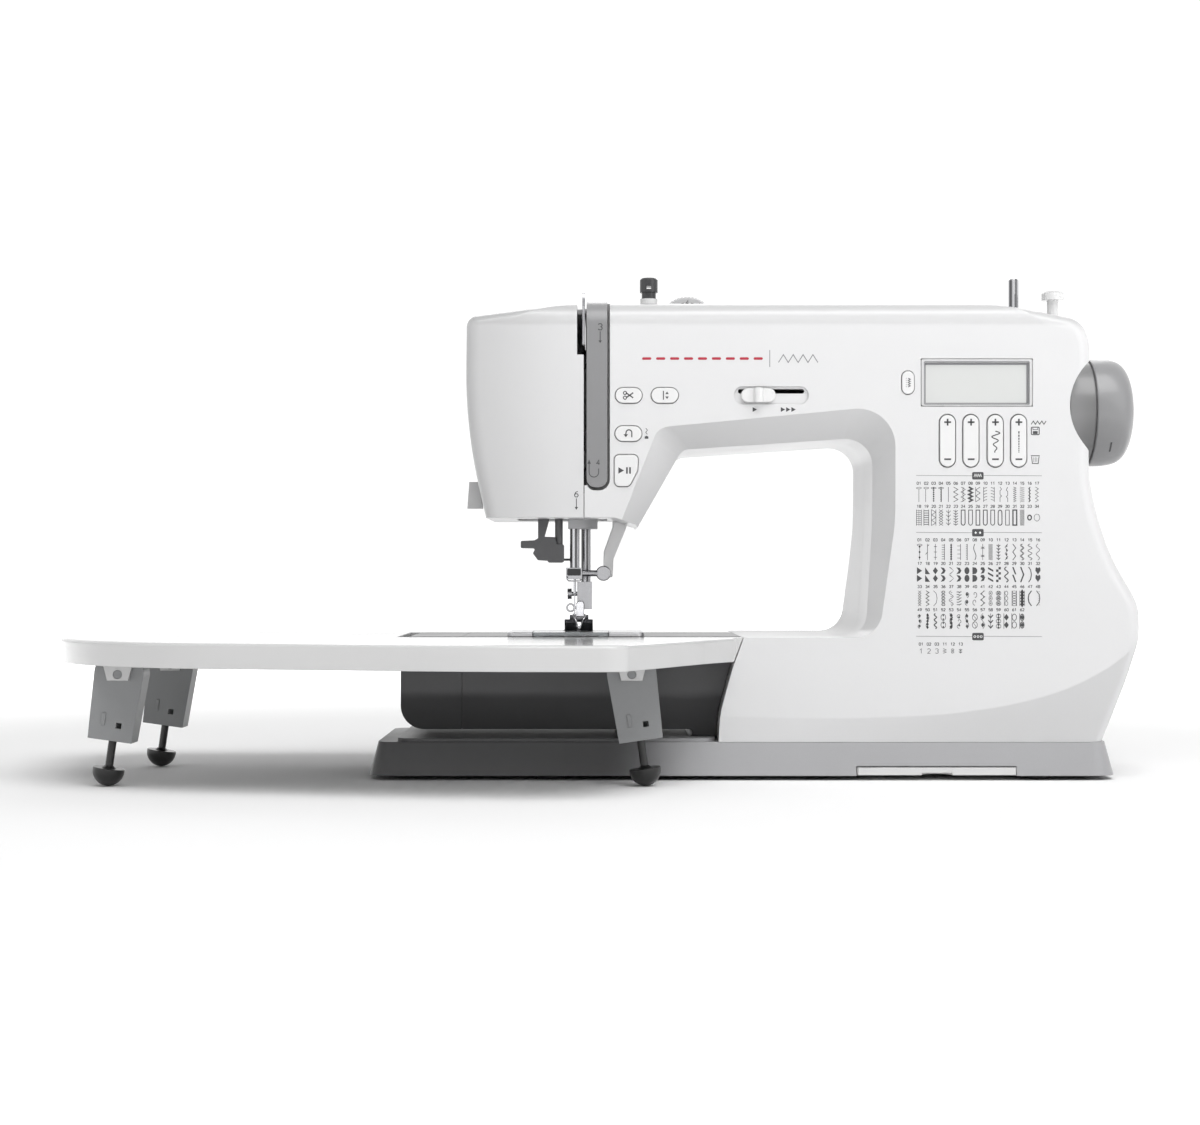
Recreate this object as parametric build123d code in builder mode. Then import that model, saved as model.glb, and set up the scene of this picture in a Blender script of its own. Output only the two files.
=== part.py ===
from build123d import *

import os
from math import cos, radians, sin

# A household computerised free-arm sewing machine, with an extension table on
# four folding legs clipped round its free arm. Sizes are in millimetres. +X is
# to the right of the person sewing, +Y is away from them and +Z is up. The
# origin is on the floor, at the middle of the whole machine and table.

# Body shell
FRONT_Y = -24.0
BACK_Y = 97.0
MOTOR_BACK_Y = 156.0
PARTING_Y = 36.5
SEAM_X = -10.9
SEAM_GAP = 0.4
WALL = 3.0
TOP_Z = 281.5
TOP_ROUND = 14.0
BED_Z = 83.4
BASE_TOP_Z = 22.0
HEAD_BOTTOM_Z = 154.0
THROAT_BEVEL_DEPTH = 20.0

# Radial gap of every shaft in its bore
RUN_GAP = 0.05

# Shaft line of the arm, and the handwheel on its right end
SHAFT_Y = 36.5
SHAFT_Z = 220.0
SHAFT_RADIUS = 5.0
WHEEL_RADIUS = 33.0
WHEEL_RIM_X = 297.8
WHEEL_LEFT_X = 281.0
WHEEL_RIGHT_X = 324.5
SCOOP_X = 309.5
SCOOP_RADIUS = 34.5

os.makedirs("parts", exist_ok=True)


def save(builder, name):
    """Names a finished piece and writes it."""
    builder.part.label = name
    export_step(builder.part, f"parts/{name}.step")


def upright(y):
    """The plane at this Y whose own x and y are the machine's X and Z."""
    return Plane.XZ.offset(-y)


# Outlines in front view, as (X, Z) corners with the radius that rounds each
COLUMN_EDGE = ((68.3, BASE_TOP_Z), (69.0, 38.0), (76.2, 64.5), (83.1, BED_Z))
COLUMN_ROUNDS = (60.0, 80.0)
OUTER_EDGE = (
    (-69.0, HEAD_BOTTOM_Z),
    (-81.1, 207.8),
    (-80.4, 272.8),
    (-14.0, 281.8),
    (110.0, 282.4),
    (240.0, 279.8),
    (283.5, 270.8),
    (288.2, 257.0),
    (287.4, 172.0),
    (299.5, 132.0),
    (317.2, 102.3),
    (317.3, 82.0),
    (309.5, 58.1),
    (294.9, BASE_TOP_Z),
)
OUTER_ROUNDS = (300.0, 7.0, 600.0, 2000.0, 150.0, 14.0, 30.0, 120.0, 120.0, 30.0, 35.0, 150.0)
HEAD_INNER_CORNER = (20.0, 150.0)
# The throat narrows from its mouth in the front face to its inner walls
THROAT_MOUTH = ((6.3, 140.0), (32.7, 207.0), (172.4, 220.3), (172.2, 152.0), (162.5, BED_Z), (-12.0, BED_Z))
THROAT_WALLS = ((14.9, 138.0), (47.6, 195.0), (161.3, 202.5), (161.0, 150.0), (157.0, BED_Z), (0.0, BED_Z))
THROAT_MOUTH_ROUNDS = (10.0, 22.0, 120.0, 16.0)
THROAT_WALL_ROUNDS = (8.0, 16.0, 120.0, 14.0)


def body_outline(y, inset=0.0):
    """Column, arm and head in front view, with the throat still filled."""
    with BuildSketch(upright(y)) as outline:
        with BuildLine():
            FilletPolyline(*COLUMN_EDGE, radius=list(COLUMN_ROUNDS))
            Polyline(COLUMN_EDGE[-1], HEAD_INNER_CORNER, (7.0, HEAD_BOTTOM_Z), OUTER_EDGE[0])
            FilletPolyline(*OUTER_EDGE, radius=list(OUTER_ROUNDS))
            Line(OUTER_EDGE[-1], COLUMN_EDGE[0])
        make_face()
        if inset:
            offset(amount=-inset, mode=Mode.REPLACE)
    return outline.sketch


def throat_outline(y, corners, rounds, grow=0.0):
    """Throat opening in front view, open to the left."""
    with BuildSketch(upright(y)) as outline:
        with BuildLine():
            FilletPolyline(*corners, radius=list(rounds))
            Line(corners[-1], corners[0])
        make_face()
        if grow:
            offset(amount=grow, mode=Mode.REPLACE)
    return outline.sketch


def side_outline(inset=0.0):
    """The body from its right side, as (Y, Z): a deeper foot holds the motor."""
    with BuildSketch(Plane.YZ.offset(-100.0)) as outline:
        with BuildLine():
            FilletPolyline(
                (FRONT_Y, BASE_TOP_Z),
                (FRONT_Y, TOP_Z),
                (BACK_Y, TOP_Z),
                (BACK_Y, 140.0),
                (MOTOR_BACK_Y, 62.0),
                (MOTOR_BACK_Y, BASE_TOP_Z),
                radius=[TOP_ROUND, TOP_ROUND, 90.0, 60.0],
            )
            Line((MOTOR_BACK_Y, BASE_TOP_Z), (FRONT_Y, BASE_TOP_Z))
        make_face()
        if inset:
            offset(amount=-inset, mode=Mode.REPLACE)
    return outline.sketch


# Body shell: one block, hollowed, then parted into face, front and rear covers
RIM_ROUND = 8.0
CORNER_INSET = 4.5
CORNER_DEPTH = 8.0
WHEEL_POCKET_X = 279.5
WHEEL_POCKET_RADIUS = 35.0
SPOOL_RECESS = ((88.0, 3.0, 256.0), (212.0, 33.0, 290.0))
HANDLE_RECESS = ((58.0, 50.0, 267.0), (192.0, 84.0, 290.0))
POWER_RECESS = ((297.0, 60.0, 32.0), (330.0, 112.0, 62.0))
HANDLE_PIVOT_Y = 60.5
HANDLE_Z = 274.5
HANDLE_PIN_RADIUS = 2.0
TAKE_UP_SLOT = ((-15.0, -30.0, 250.0), (-9.4, 10.0, 300.0))
HEAD_OPENING = ((-52.0, 12.0, 146.0), (3.0, 58.0, 158.0))
LIFTER_NOTCH = ((-1.5, 58.8, 140.0), (31.0, 67.2, 161.0))
ARM_WINDOW = ((60.0, 1.0, 30.0), (95.0, 84.0, 78.5))
DIAL_SLOT = ((33.6, 7.2, 270.0), (68.6, 16.8, 290.0))
WINDER_Y = 12.0
WINDER_X = 248.6
WINDER_TRAVEL = 6.0
SPEED_CENTRE = (99.3, 226.0)
SPEED_SLOT_Z = 228.4


def box_between(low, high, grow=0.0):
    """A box from its lowest to its highest corner, as a loose solid."""
    size = [b - a + 2.0 * grow for a, b in zip(low, high)]
    middle = [(a + b) / 2.0 for a, b in zip(low, high)]
    return Pos(*middle) * Box(*size, mode=Mode.PRIVATE)


def rod(start, direction, radius, length):
    """A round bar from a point along a direction, as a loose solid."""
    plane = Plane(origin=start, z_dir=direction)
    bar = Cylinder(radius, length, align=(Align.CENTER, Align.CENTER, Align.MIN), mode=Mode.PRIVATE)
    return plane * bar


X_AXIS = (1, 0, 0)
Y_AXIS = (0, 1, 0)
Z_AXIS = (0, 0, 1)

with BuildPart() as body_block:
    extrude(body_outline(FRONT_Y), amount=FRONT_Y - MOTOR_BACK_Y)
    front_rim = body_block.faces().sort_by(Axis.Y)[0].edges()
    rim = front_rim.filter_by(
        lambda e: e.center().Z > 230.0 or e.center().X > 280.0 or e.center().X < -68.0
    )
    fillet(rim, RIM_ROUND)
    extrude(side_outline(), amount=450.0, mode=Mode.INTERSECT)
    mouth = throat_outline(FRONT_Y - 0.01, THROAT_MOUTH, THROAT_MOUTH_ROUNDS)
    walls = throat_outline(FRONT_Y + THROAT_BEVEL_DEPTH, THROAT_WALLS, THROAT_WALL_ROUNDS)
    loft([mouth, walls], ruled=True, mode=Mode.SUBTRACT)
    extrude(walls, amount=-180.0, mode=Mode.SUBTRACT)

with BuildPart() as cavity:
    extrude(body_outline(FRONT_Y + WALL, CORNER_INSET), amount=WALL - CORNER_DEPTH)
    extrude(body_outline(FRONT_Y + CORNER_DEPTH, WALL), amount=-14.5)
    extrude(
        throat_outline(FRONT_Y, THROAT_MOUTH, THROAT_MOUTH_ROUNDS, WALL),
        amount=-22.5,
        mode=Mode.SUBTRACT,
    )
    with BuildPart(mode=Mode.PRIVATE) as deep_cavity:
        extrude(body_outline(-1.5, WALL), amount=-152.0)
        extrude(
            throat_outline(-1.5, THROAT_WALLS, THROAT_WALL_ROUNDS, WALL),
            amount=-152.0,
            mode=Mode.SUBTRACT,
        )
    add(deep_cavity.part)
    extrude(side_outline(WALL), amount=450.0, mode=Mode.INTERSECT)
    with BuildSketch(upright(FRONT_Y)):
        with Locations((SCOOP_X, SHAFT_Z)):
            Circle(SCOOP_RADIUS + WALL)
        with Locations((290.0, SHAFT_Z)):
            Rectangle(2.0 * (290.0 - WHEEL_POCKET_X + WALL), 2.0 * (WHEEL_POCKET_RADIUS + WALL))
    extrude(amount=-180.0, mode=Mode.SUBTRACT)
    for recess in (SPOOL_RECESS, HANDLE_RECESS, POWER_RECESS):
        add(box_between(*recess, grow=WALL), mode=Mode.SUBTRACT)

with BuildPart() as shell:
    add(body_block.part)
    add(cavity.part, mode=Mode.SUBTRACT)
    with BuildSketch(upright(FRONT_Y - 1.0)):
        with Locations((SCOOP_X, SHAFT_Z)):
            Circle(SCOOP_RADIUS)
    extrude(amount=-190.0, mode=Mode.SUBTRACT)
    add(rod((WHEEL_POCKET_X, SHAFT_Y, SHAFT_Z), X_AXIS, WHEEL_POCKET_RADIUS, 40.0), mode=Mode.SUBTRACT)
    add(rod((260.0, SHAFT_Y, SHAFT_Z), X_AXIS, SHAFT_RADIUS + 0.4, 40.0), mode=Mode.SUBTRACT)
    for cut in (SPOOL_RECESS, HANDLE_RECESS, POWER_RECESS, TAKE_UP_SLOT, HEAD_OPENING, ARM_WINDOW):
        add(box_between(*cut), mode=Mode.SUBTRACT)
    add(box_between(*LIFTER_NOTCH), mode=Mode.SUBTRACT)


# Controls on the front: name, outline centre (X, Z) and overall size
BUTTONS = {
    "cutter_button": ((15.4, 225.9), (15.6, 9.0)),
    "needle_button": ((36.6, 225.9), (15.8, 9.0)),
    "reverse_button": ((15.2, 203.4), (15.6, 9.0)),
    "mode_button": ((179.7, 233.4), (7.1, 13.6)),
}
START_BUTTON = ((7.0, 191.0), (21.0, 191.0), (20.6, 181.5), (15.8, 172.4), (7.0, 172.4))
ROCKER_X = (202.9, 216.7, 231.0, 244.8)
ROCKER_Z = 199.2
ROCKER_SIZE = (9.0, 30.5)
BUTTON_GAP = 0.4
BUTTON_PROUD = 0.9
BUTTON_DEPTH = 8.0
DISPLAY = ((187.3, 219.4), (253.2, 247.6))
SCREEN = ((189.5, 220.9), (251.0, 245.6))


def pill(y, centre, size, grow=0.0):
    """A long round-ended outline in front view, upright or lying down."""
    width = size[0] + 2.0 * grow
    height = size[1] + 2.0 * grow
    turn = 90.0 if height > width else 0.0
    with BuildSketch(upright(y)) as outline:
        with Locations(centre):
            SlotOverall(max(width, height), min(width, height), rotation=turn)
    return outline.sketch


def start_outline(y, grow=0.0):
    """The start and stop button, cut back beside the throat."""
    with BuildSketch(upright(y)) as outline:
        with BuildLine():
            FilletPolyline(*START_BUTTON, radius=3.0, close=True)
        make_face()
        if grow:
            offset(amount=grow, mode=Mode.REPLACE)
    return outline.sketch


def window(y, corners, grow=0.0):
    """An upright rectangle between two (X, Z) corners."""
    low, high = corners
    with BuildSketch(upright(y)) as outline:
        with Locations(((low[0] + high[0]) / 2.0, (low[1] + high[1]) / 2.0)):
            Rectangle(high[0] - low[0] + 2.0 * grow, high[1] - low[1] + 2.0 * grow)
    return outline.sketch


CHANNEL_BOTTOM_Z = 171.8
CHANNEL_LEFT_X = -9.4
CHANNEL_RIGHT_X = 2.8


def channel_outline(y, grow_right=0.0, grow_bottom=0.0):
    """The thread channel strip in front view, rounded at its foot."""
    right = CHANNEL_RIGHT_X + grow_right
    bottom = CHANNEL_BOTTOM_Z - grow_bottom
    left = CHANNEL_LEFT_X
    with BuildSketch(upright(y)) as outline:
        with BuildLine():
            FilletPolyline(
                (left, 300.0),
                (left, bottom),
                (right, bottom),
                (right, 300.0),
                radius=[5.0, 5.0 + grow_right],
            )
            Line((right, 300.0), (left, 300.0))
        make_face()
    return outline.sketch


GUIDE_X = 28.0
GUIDE_Y = 12.0
STOP_X = 272.2
SCREW_POINTS = ((5.0, 240.0), (40.0, 240.0))

with BuildPart() as face_cover:
    add(shell.part)
    add(box_between((-200.0, -60.0, 100.0), (SEAM_X - SEAM_GAP / 2.0, 200.0, 320.0)), mode=Mode.INTERSECT)
    # Thread cutter moulded on the left side, with its slit
    with BuildSketch(Plane.XY.offset(160.0)):
        with Locations((-76.5, 6.0)):
            Rectangle(9.0, 12.0)
    extrude(amount=16.0, taper=4.0)
    add(cavity.part, mode=Mode.SUBTRACT)
    add(box_between((-82.0, 4.6, 164.0), (-78.6, 6.2, 180.0)), mode=Mode.SUBTRACT)
save(face_cover, "face_cover")

with BuildPart() as front_cover:
    add(shell.part)
    region = box_between((SEAM_X + SEAM_GAP / 2.0, -60.0, 0.0), (400.0, PARTING_Y - 0.15, 320.0))
    add(region, mode=Mode.INTERSECT)
    for centre, size in BUTTONS.values():
        extrude(pill(FRONT_Y - 2.0, centre, size, BUTTON_GAP), amount=-12.0, mode=Mode.SUBTRACT)
    extrude(start_outline(FRONT_Y - 2.0, BUTTON_GAP), amount=-12.0, mode=Mode.SUBTRACT)
    for x in ROCKER_X:
        extrude(pill(FRONT_Y - 2.0, (x, ROCKER_Z), ROCKER_SIZE, 0.6), amount=-12.0, mode=Mode.SUBTRACT)
    extrude(window(FRONT_Y - 2.0, DISPLAY), amount=-6.0, mode=Mode.SUBTRACT)
    # Dished track of the speed slider, with the slit its stem runs in
    extrude(pill(FRONT_Y - 2.0, SPEED_CENTRE, (44.0, 10.4)), amount=-3.4, mode=Mode.SUBTRACT)
    extrude(pill(FRONT_Y - 2.0, (99.3, SPEED_SLOT_Z), (39.0, 2.6)), amount=-8.0, mode=Mode.SUBTRACT)
    # Thread channel: a floor behind the strip, and the dark groove round it
    with BuildPart(mode=Mode.PRIVATE) as channel_tub:
        extrude(channel_outline(FRONT_Y + 2.0, 4.0, 4.0), amount=-12.0)
        add(body_block.part, mode=Mode.INTERSECT)
    add(channel_tub.part)
    extrude(channel_outline(FRONT_Y - 2.0, 1.5, 1.8), amount=-14.0, mode=Mode.SUBTRACT)
    add(box_between((SEAM_X - 1.0, -30.0, 173.0), (-9.3, -12.0, 300.0)), mode=Mode.SUBTRACT)
    add(box_between(*DIAL_SLOT), mode=Mode.SUBTRACT)
    winder_slot = box_between(
        (WINDER_X - 4.2, WINDER_Y - 4.2, 270.0),
        (WINDER_X + WINDER_TRAVEL + 4.2, WINDER_Y + 4.2, 290.0),
    )
    add(winder_slot, mode=Mode.SUBTRACT)
    for x in (GUIDE_X, STOP_X):
        add(rod((x, GUIDE_Y, 266.0), Z_AXIS, 3.4, 20.0), mode=Mode.SUBTRACT)
save(front_cover, "front_cover")

with BuildPart() as rear_cover:
    add(shell.part)
    add(
        box_between((SEAM_X + SEAM_GAP / 2.0, PARTING_Y + 0.15, 0.0), (400.0, 250.0, 320.0)),
        mode=Mode.INTERSECT,
    )
    for x, z in SCREW_POINTS:
        add(rod((x, BACK_Y + 1.0, z), (0, -1, 0), 3.0, 8.0), mode=Mode.SUBTRACT)
    for x in (HANDLE_RECESS[0][0] - 2.0, HANDLE_RECESS[1][0] - 0.5):
        socket = rod((x, HANDLE_PIVOT_Y, HANDLE_Z), X_AXIS, HANDLE_PIN_RADIUS + RUN_GAP, 2.5)
        add(socket, mode=Mode.SUBTRACT)
    # Vent slots over the motor
    for step in range(7):
        slot_x = 200.0 + 8.0 * step
        add(box_between((slot_x, 120.0, 36.0), (slot_x + 3.0, 170.0, 70.0)), mode=Mode.SUBTRACT)
    # Holes of the power socket and switch in the floor of their recess
    add(box_between((290.0, 66.0, 40.0), (299.0, 82.0, 54.0)), mode=Mode.SUBTRACT)
    add(box_between((290.0, 89.0, 37.0), (299.0, 104.0, 57.0)), mode=Mode.SUBTRACT)
save(rear_cover, "rear_cover")

with BuildPart() as channel_cover:
    extrude(channel_outline(FRONT_Y - 0.8), amount=-12.8)
    with BuildSketch(Plane.YZ.offset(-30.0)):
        with BuildLine():
            Polyline((FRONT_Y - 0.8, 267.5), (FRONT_Y - 0.8, 160.0), (-12.0, 160.0), (-12.0, 282.3))
            Line((-12.0, 282.3), (-10.0, 282.3))
            RadiusArc((-10.0, 282.3), (FRONT_Y - 0.8, 267.5), -14.8)
        make_face()
    extrude(amount=60.0, mode=Mode.INTERSECT)
save(channel_cover, "channel_cover")

# Base, on rubber feet, with the stitch chart in a slot under its front edge
BASE_LEFT_X = -137.8
BASE_RIGHT_X = 302.1
BASE_FRONT_Y = -29.0
BASE_BACK_Y = 161.0
BASE_ARM_BACK_Y = 102.0
BASE_STEP_X = 58.0
BASE_BOTTOM_Z = 2.5
PLINTH_TOP_Z = 24.0
BASE_TAPER = 15.0
CHART_SLOT = ((148.9, -40.0, 2.0), (242.7, 95.0, 8.0))
CHART = ((149.3, -29.6, 3.0), (242.3, 92.0, 7.4))
BASE_FOOT_RADIUS = 8.5
BASE_FOOT_POINTS = (
    (-30.5, -14.0),
    (257.0, -14.0),
    (-118.0, 36.0),
    (-30.5, 86.0),
    (90.0, 144.0),
    (257.0, 144.0),
)
BASE_HOLLOWS = (
    ((-126.0, -18.0, 0.0), (54.0, 92.0, 19.0)),
    ((66.0, -18.0, 0.0), (140.0, 150.0, 19.0)),
    ((251.0, -18.0, 0.0), (288.0, 150.0, 19.0)),
    ((150.0, 104.0, 0.0), (241.0, 150.0, 19.0)),
)

with BuildPart() as base:
    with BuildSketch(Plane.XY.offset(BASE_BOTTOM_Z)):
        with BuildLine():
            FilletPolyline(
                (BASE_LEFT_X, BASE_FRONT_Y),
                (BASE_RIGHT_X, BASE_FRONT_Y),
                (BASE_RIGHT_X, BASE_BACK_Y),
                (BASE_STEP_X, BASE_BACK_Y),
                (BASE_STEP_X, BASE_ARM_BACK_Y),
                (BASE_LEFT_X, BASE_ARM_BACK_Y),
                radius=14.0,
                close=True,
            )
        make_face()
    extrude(amount=BASE_TOP_Z - BASE_BOTTOM_Z, taper=BASE_TAPER)
    with BuildSketch(Plane.XY.offset(BASE_TOP_Z)):
        with Locations((-27.5, 36.0)):
            RectangleRounded(188.0, 116.0, 10.0)
    extrude(amount=PLINTH_TOP_Z - BASE_TOP_Z)
    for corners in BASE_HOLLOWS:
        add(box_between(*corners), mode=Mode.SUBTRACT)
    for x, y in BASE_FOOT_POINTS:
        add(rod((x, y, BASE_BOTTOM_Z), Z_AXIS, BASE_FOOT_RADIUS + 1.5, 17.5))
    add(box_between(*CHART_SLOT), mode=Mode.SUBTRACT)
save(base, "base")

with BuildPart() as base_feet:
    with BuildSketch(Plane.XY):
        with Locations(*BASE_FOOT_POINTS):
            Circle(BASE_FOOT_RADIUS)
    extrude(amount=BASE_BOTTOM_Z)
    chamfer(base_feet.edges().group_by(Axis.Z)[0], 0.6)
save(base_feet, "base_feet")

with BuildPart() as chart_drawer:
    add(box_between(*CHART))
    fillet(chart_drawer.edges().filter_by(Axis.Z), 1.2)
    # Thumb notch under the front edge
    add(rod((195.8, -29.6, 1.0), Z_AXIS, 9.0, 3.4), mode=Mode.SUBTRACT)
save(chart_drawer, "chart_drawer")

# Free arm
ARM_LEFT_X = -120.5
ARM_FRONT_Y = -4.0
ARM_BACK_Y = 90.0
ARM_BOTTOM_Z = 28.2
ARM_WALL = 2.5
ARM_OPENING = ((-36.0, 1.0, 79.0), (-2.0, 54.0, 90.0))
ARM_CAP_SEAM_X = -83.9
ARM_SEAM_DEPTH = 0.6
COLUMN_GAP = 0.5


def arm_outline(y, inset=0.0):
    """The free arm in front view, ending against the column."""
    right_edge = [(x - COLUMN_GAP, z) for x, z in reversed(COLUMN_EDGE)]
    right_edge[-1] = (right_edge[-1][0], PLINTH_TOP_Z)
    with BuildSketch(upright(y)) as outline:
        with BuildLine():
            FilletPolyline(
                (51.5, ARM_BOTTOM_Z),
                (ARM_LEFT_X, ARM_BOTTOM_Z),
                (ARM_LEFT_X, BED_Z),
                right_edge[0],
                radius=[14.0, 6.0],
            )
            FilletPolyline(*right_edge, radius=list(reversed(COLUMN_ROUNDS)))
            Line(right_edge[-1], (51.5, PLINTH_TOP_Z))
            ThreePointArc((51.5, PLINTH_TOP_Z), (53.6, 26.1), (51.5, ARM_BOTTOM_Z))
        make_face()
        if inset:
            offset(amount=-inset, mode=Mode.REPLACE)
    return outline.sketch


with BuildPart() as free_arm_cover:
    extrude(arm_outline(ARM_FRONT_Y), amount=ARM_FRONT_Y - ARM_BACK_Y)
    inside = arm_outline(ARM_FRONT_Y + ARM_WALL, ARM_WALL)
    extrude(inside, amount=ARM_FRONT_Y - ARM_BACK_Y + 2.0 * ARM_WALL, mode=Mode.SUBTRACT)
    add(box_between(*ARM_OPENING), mode=Mode.SUBTRACT)
    # Fine groove where the end cap meets the arm
    with BuildPart(mode=Mode.PRIVATE) as seam:
        add(box_between((ARM_CAP_SEAM_X - 0.2, -20.0, 10.0), (ARM_CAP_SEAM_X + 0.2, 100.0, 100.0)))
        extrude(
            arm_outline(ARM_FRONT_Y + ARM_SEAM_DEPTH, ARM_SEAM_DEPTH),
            amount=ARM_FRONT_Y - ARM_BACK_Y + 2.0 * ARM_SEAM_DEPTH,
            mode=Mode.SUBTRACT,
        )
    add(seam.part, mode=Mode.SUBTRACT)
    # Open towards the column, where the frame and the lower shaft come through
    add(box_between((56.0, 1.5, 32.0), (90.0, 84.0, 78.0)), mode=Mode.SUBTRACT)
save(free_arm_cover, "free_arm_cover")

# Stitching parts: the hook runs under the plate, just in front of the needle
NEEDLE_X = -17.0
NEEDLE_Y = 31.0
PLATE_LOW_Z = 83.5
PLATE_TOP_Z = 86.0
HOOK_X = -19.0
HOOK_Y = 16.5
HOOK_RADIUS = 13.4
HOOK_LOW_Z = 61.0
HOOK_TOP_Z = 77.0
COVER_HOLE = ((-42.0, -10.0, 80.0), (4.0, 27.5, 90.0))
FEED_SLOT_X = (-22.4, -11.6)
FEED_SLOT_WIDTH = 3.4

with BuildPart() as needle_plate:
    with BuildSketch(Plane.XY.offset(PLATE_LOW_Z)):
        with Locations((-16.0, 31.0)):
            RectangleRounded(82.0, 68.0, 5.0)
        with Locations((NEEDLE_X, NEEDLE_Y)):
            SlotOverall(8.4, 1.8, mode=Mode.SUBTRACT)
        for x in FEED_SLOT_X:
            with Locations((x, 42.0)):
                RectangleRounded(FEED_SLOT_WIDTH, 18.0, 1.0, mode=Mode.SUBTRACT)
    extrude(amount=PLATE_TOP_Z - PLATE_LOW_Z)
    chamfer(needle_plate.edges().group_by(Axis.Z)[-1].filter_by_position(Axis.Y, -4, -2), 0.5)
    add(box_between(*COVER_HOLE), mode=Mode.SUBTRACT)
    with Locations((-48.0, 56.0, PLATE_TOP_Z), (16.0, 56.0, PLATE_TOP_Z)):
        CounterSinkHole(1.6, 3.0, depth=6.0)
save(needle_plate, "needle_plate")

with BuildPart() as bobbin_cover:
    with BuildSketch(Plane.XY.offset(83.8)):
        with Locations((-19.0, 13.25)):
            RectangleRounded(45.2, 27.7, 1.5)
    extrude(amount=2.1)
    with BuildSketch(Plane.XY.offset(85.9)):
        with Locations((-19.0, 3.0)):
            SlotOverall(12.0, 2.4)
    extrude(amount=-0.6, mode=Mode.SUBTRACT)
save(bobbin_cover, "bobbin_cover")

HOOK_GEAR_RADIUS = 6.0
LOWER_GEAR_RADIUS = 12.0
GEAR_MESH_GAP = 0.3
LOWER_Y = HOOK_Y + HOOK_GEAR_RADIUS + LOWER_GEAR_RADIUS + GEAR_MESH_GAP
LOWER_Z = 47.0
LOWER_SHAFT_RADIUS = 4.0


def toothed_disc(plane, radius, width, teeth):
    """A gear or belt wheel with simple teeth, as a loose solid."""
    with BuildPart(plane, mode=Mode.PRIVATE) as wheel:
        with BuildSketch(plane):
            Circle(radius)
            with PolarLocations(radius, teeth):
                Rectangle(radius * 0.16, radius * 0.12, mode=Mode.SUBTRACT)
        extrude(amount=width)
    return wheel.part


with BuildPart() as hook:
    add(rod((HOOK_X, HOOK_Y, HOOK_LOW_Z), Z_AXIS, HOOK_RADIUS, HOOK_TOP_Z - HOOK_LOW_Z))
    add(rod((HOOK_X, HOOK_Y, HOOK_LOW_Z + 2.0), Z_AXIS, HOOK_RADIUS - 1.2, 20.0), mode=Mode.SUBTRACT)
    add(rod((HOOK_X, HOOK_Y, 37.0), Z_AXIS, 3.0, HOOK_LOW_Z - 36.0))
    add(toothed_disc(Plane((HOOK_X, HOOK_Y, 41.0)), HOOK_GEAR_RADIUS, 12.0, 14))
save(hook, "hook")

with BuildPart() as bobbin_case:
    add(rod((HOOK_X, HOOK_Y, 63.5), Z_AXIS, 11.8, 16.5))
    add(rod((HOOK_X, HOOK_Y, 64.7), Z_AXIS, 10.9, 20.0), mode=Mode.SUBTRACT)
    add(rod((HOOK_X, HOOK_Y, 64.0), Z_AXIS, 2.6, 12.0))
    # Rim lug that stops the case from turning
    add(box_between((HOOK_X + 10.8, HOOK_Y - 3.0, 78.0), (HOOK_X + 15.0, HOOK_Y + 3.0, 80.0)))
save(bobbin_case, "bobbin_case")

with BuildPart() as bobbin:
    add(rod((HOOK_X, HOOK_Y, 65.2), Z_AXIS, 10.2, 11.4))
    with BuildSketch(Plane.XY.offset(66.2)):
        with Locations((HOOK_X, HOOK_Y)):
            Circle(12.0)
            Circle(5.0, mode=Mode.SUBTRACT)
    extrude(amount=9.4, mode=Mode.SUBTRACT)
    add(rod((HOOK_X, HOOK_Y, 60.0), Z_AXIS, 3.0, 20.0), mode=Mode.SUBTRACT)
    with BuildSketch(Plane.XY.offset(60.0)):
        with Locations((HOOK_X, HOOK_Y)):
            with PolarLocations(7.4, 6):
                Circle(1.3)
    extrude(amount=20.0, mode=Mode.SUBTRACT)
save(bobbin, "bobbin")

with BuildPart() as feed_dogs:
    for x in FEED_SLOT_X:
        add(box_between((x - 1.1, 35.6, 79.0), (x + 1.1, 48.4, 85.2)))
        for step in range(8):
            tooth_y = 36.0 + 1.6 * step
            add(box_between((x - 1.1, tooth_y, 85.0), (x + 1.1, tooth_y + 0.8, 85.8)))
    add(box_between((FEED_SLOT_X[0] - 1.1, 35.6, 74.0), (FEED_SLOT_X[1] + 1.1, 48.4, 79.5)))
save(feed_dogs, "feed_dogs")

# Needle and presser bars
BAR_RADIUS = 3.0
NEEDLE_TIP_Z = 90.5
CLAMP_LOW_Z = 117.6
SCREW_Z = 121.2
PRESSER_X = -10.2
PRESSER_Y = 45.0
FOOT_X = -14.4

with BuildPart() as needle_bar:
    add(rod((NEEDLE_X, NEEDLE_Y, CLAMP_LOW_Z), Z_AXIS, BAR_RADIUS, 86.0))
    add(box_between((-22.3, 27.4, CLAMP_LOW_Z), (-12.5, 34.6, 124.6)))
    add(rod((NEEDLE_X, NEEDLE_Y, 110.0), Z_AXIS, 0.85, 12.0), mode=Mode.SUBTRACT)
    add(rod((-15.6, NEEDLE_Y, SCREW_Z), X_AXIS, 1.65, 5.0), mode=Mode.SUBTRACT)
save(needle_bar, "needle_bar")

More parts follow.
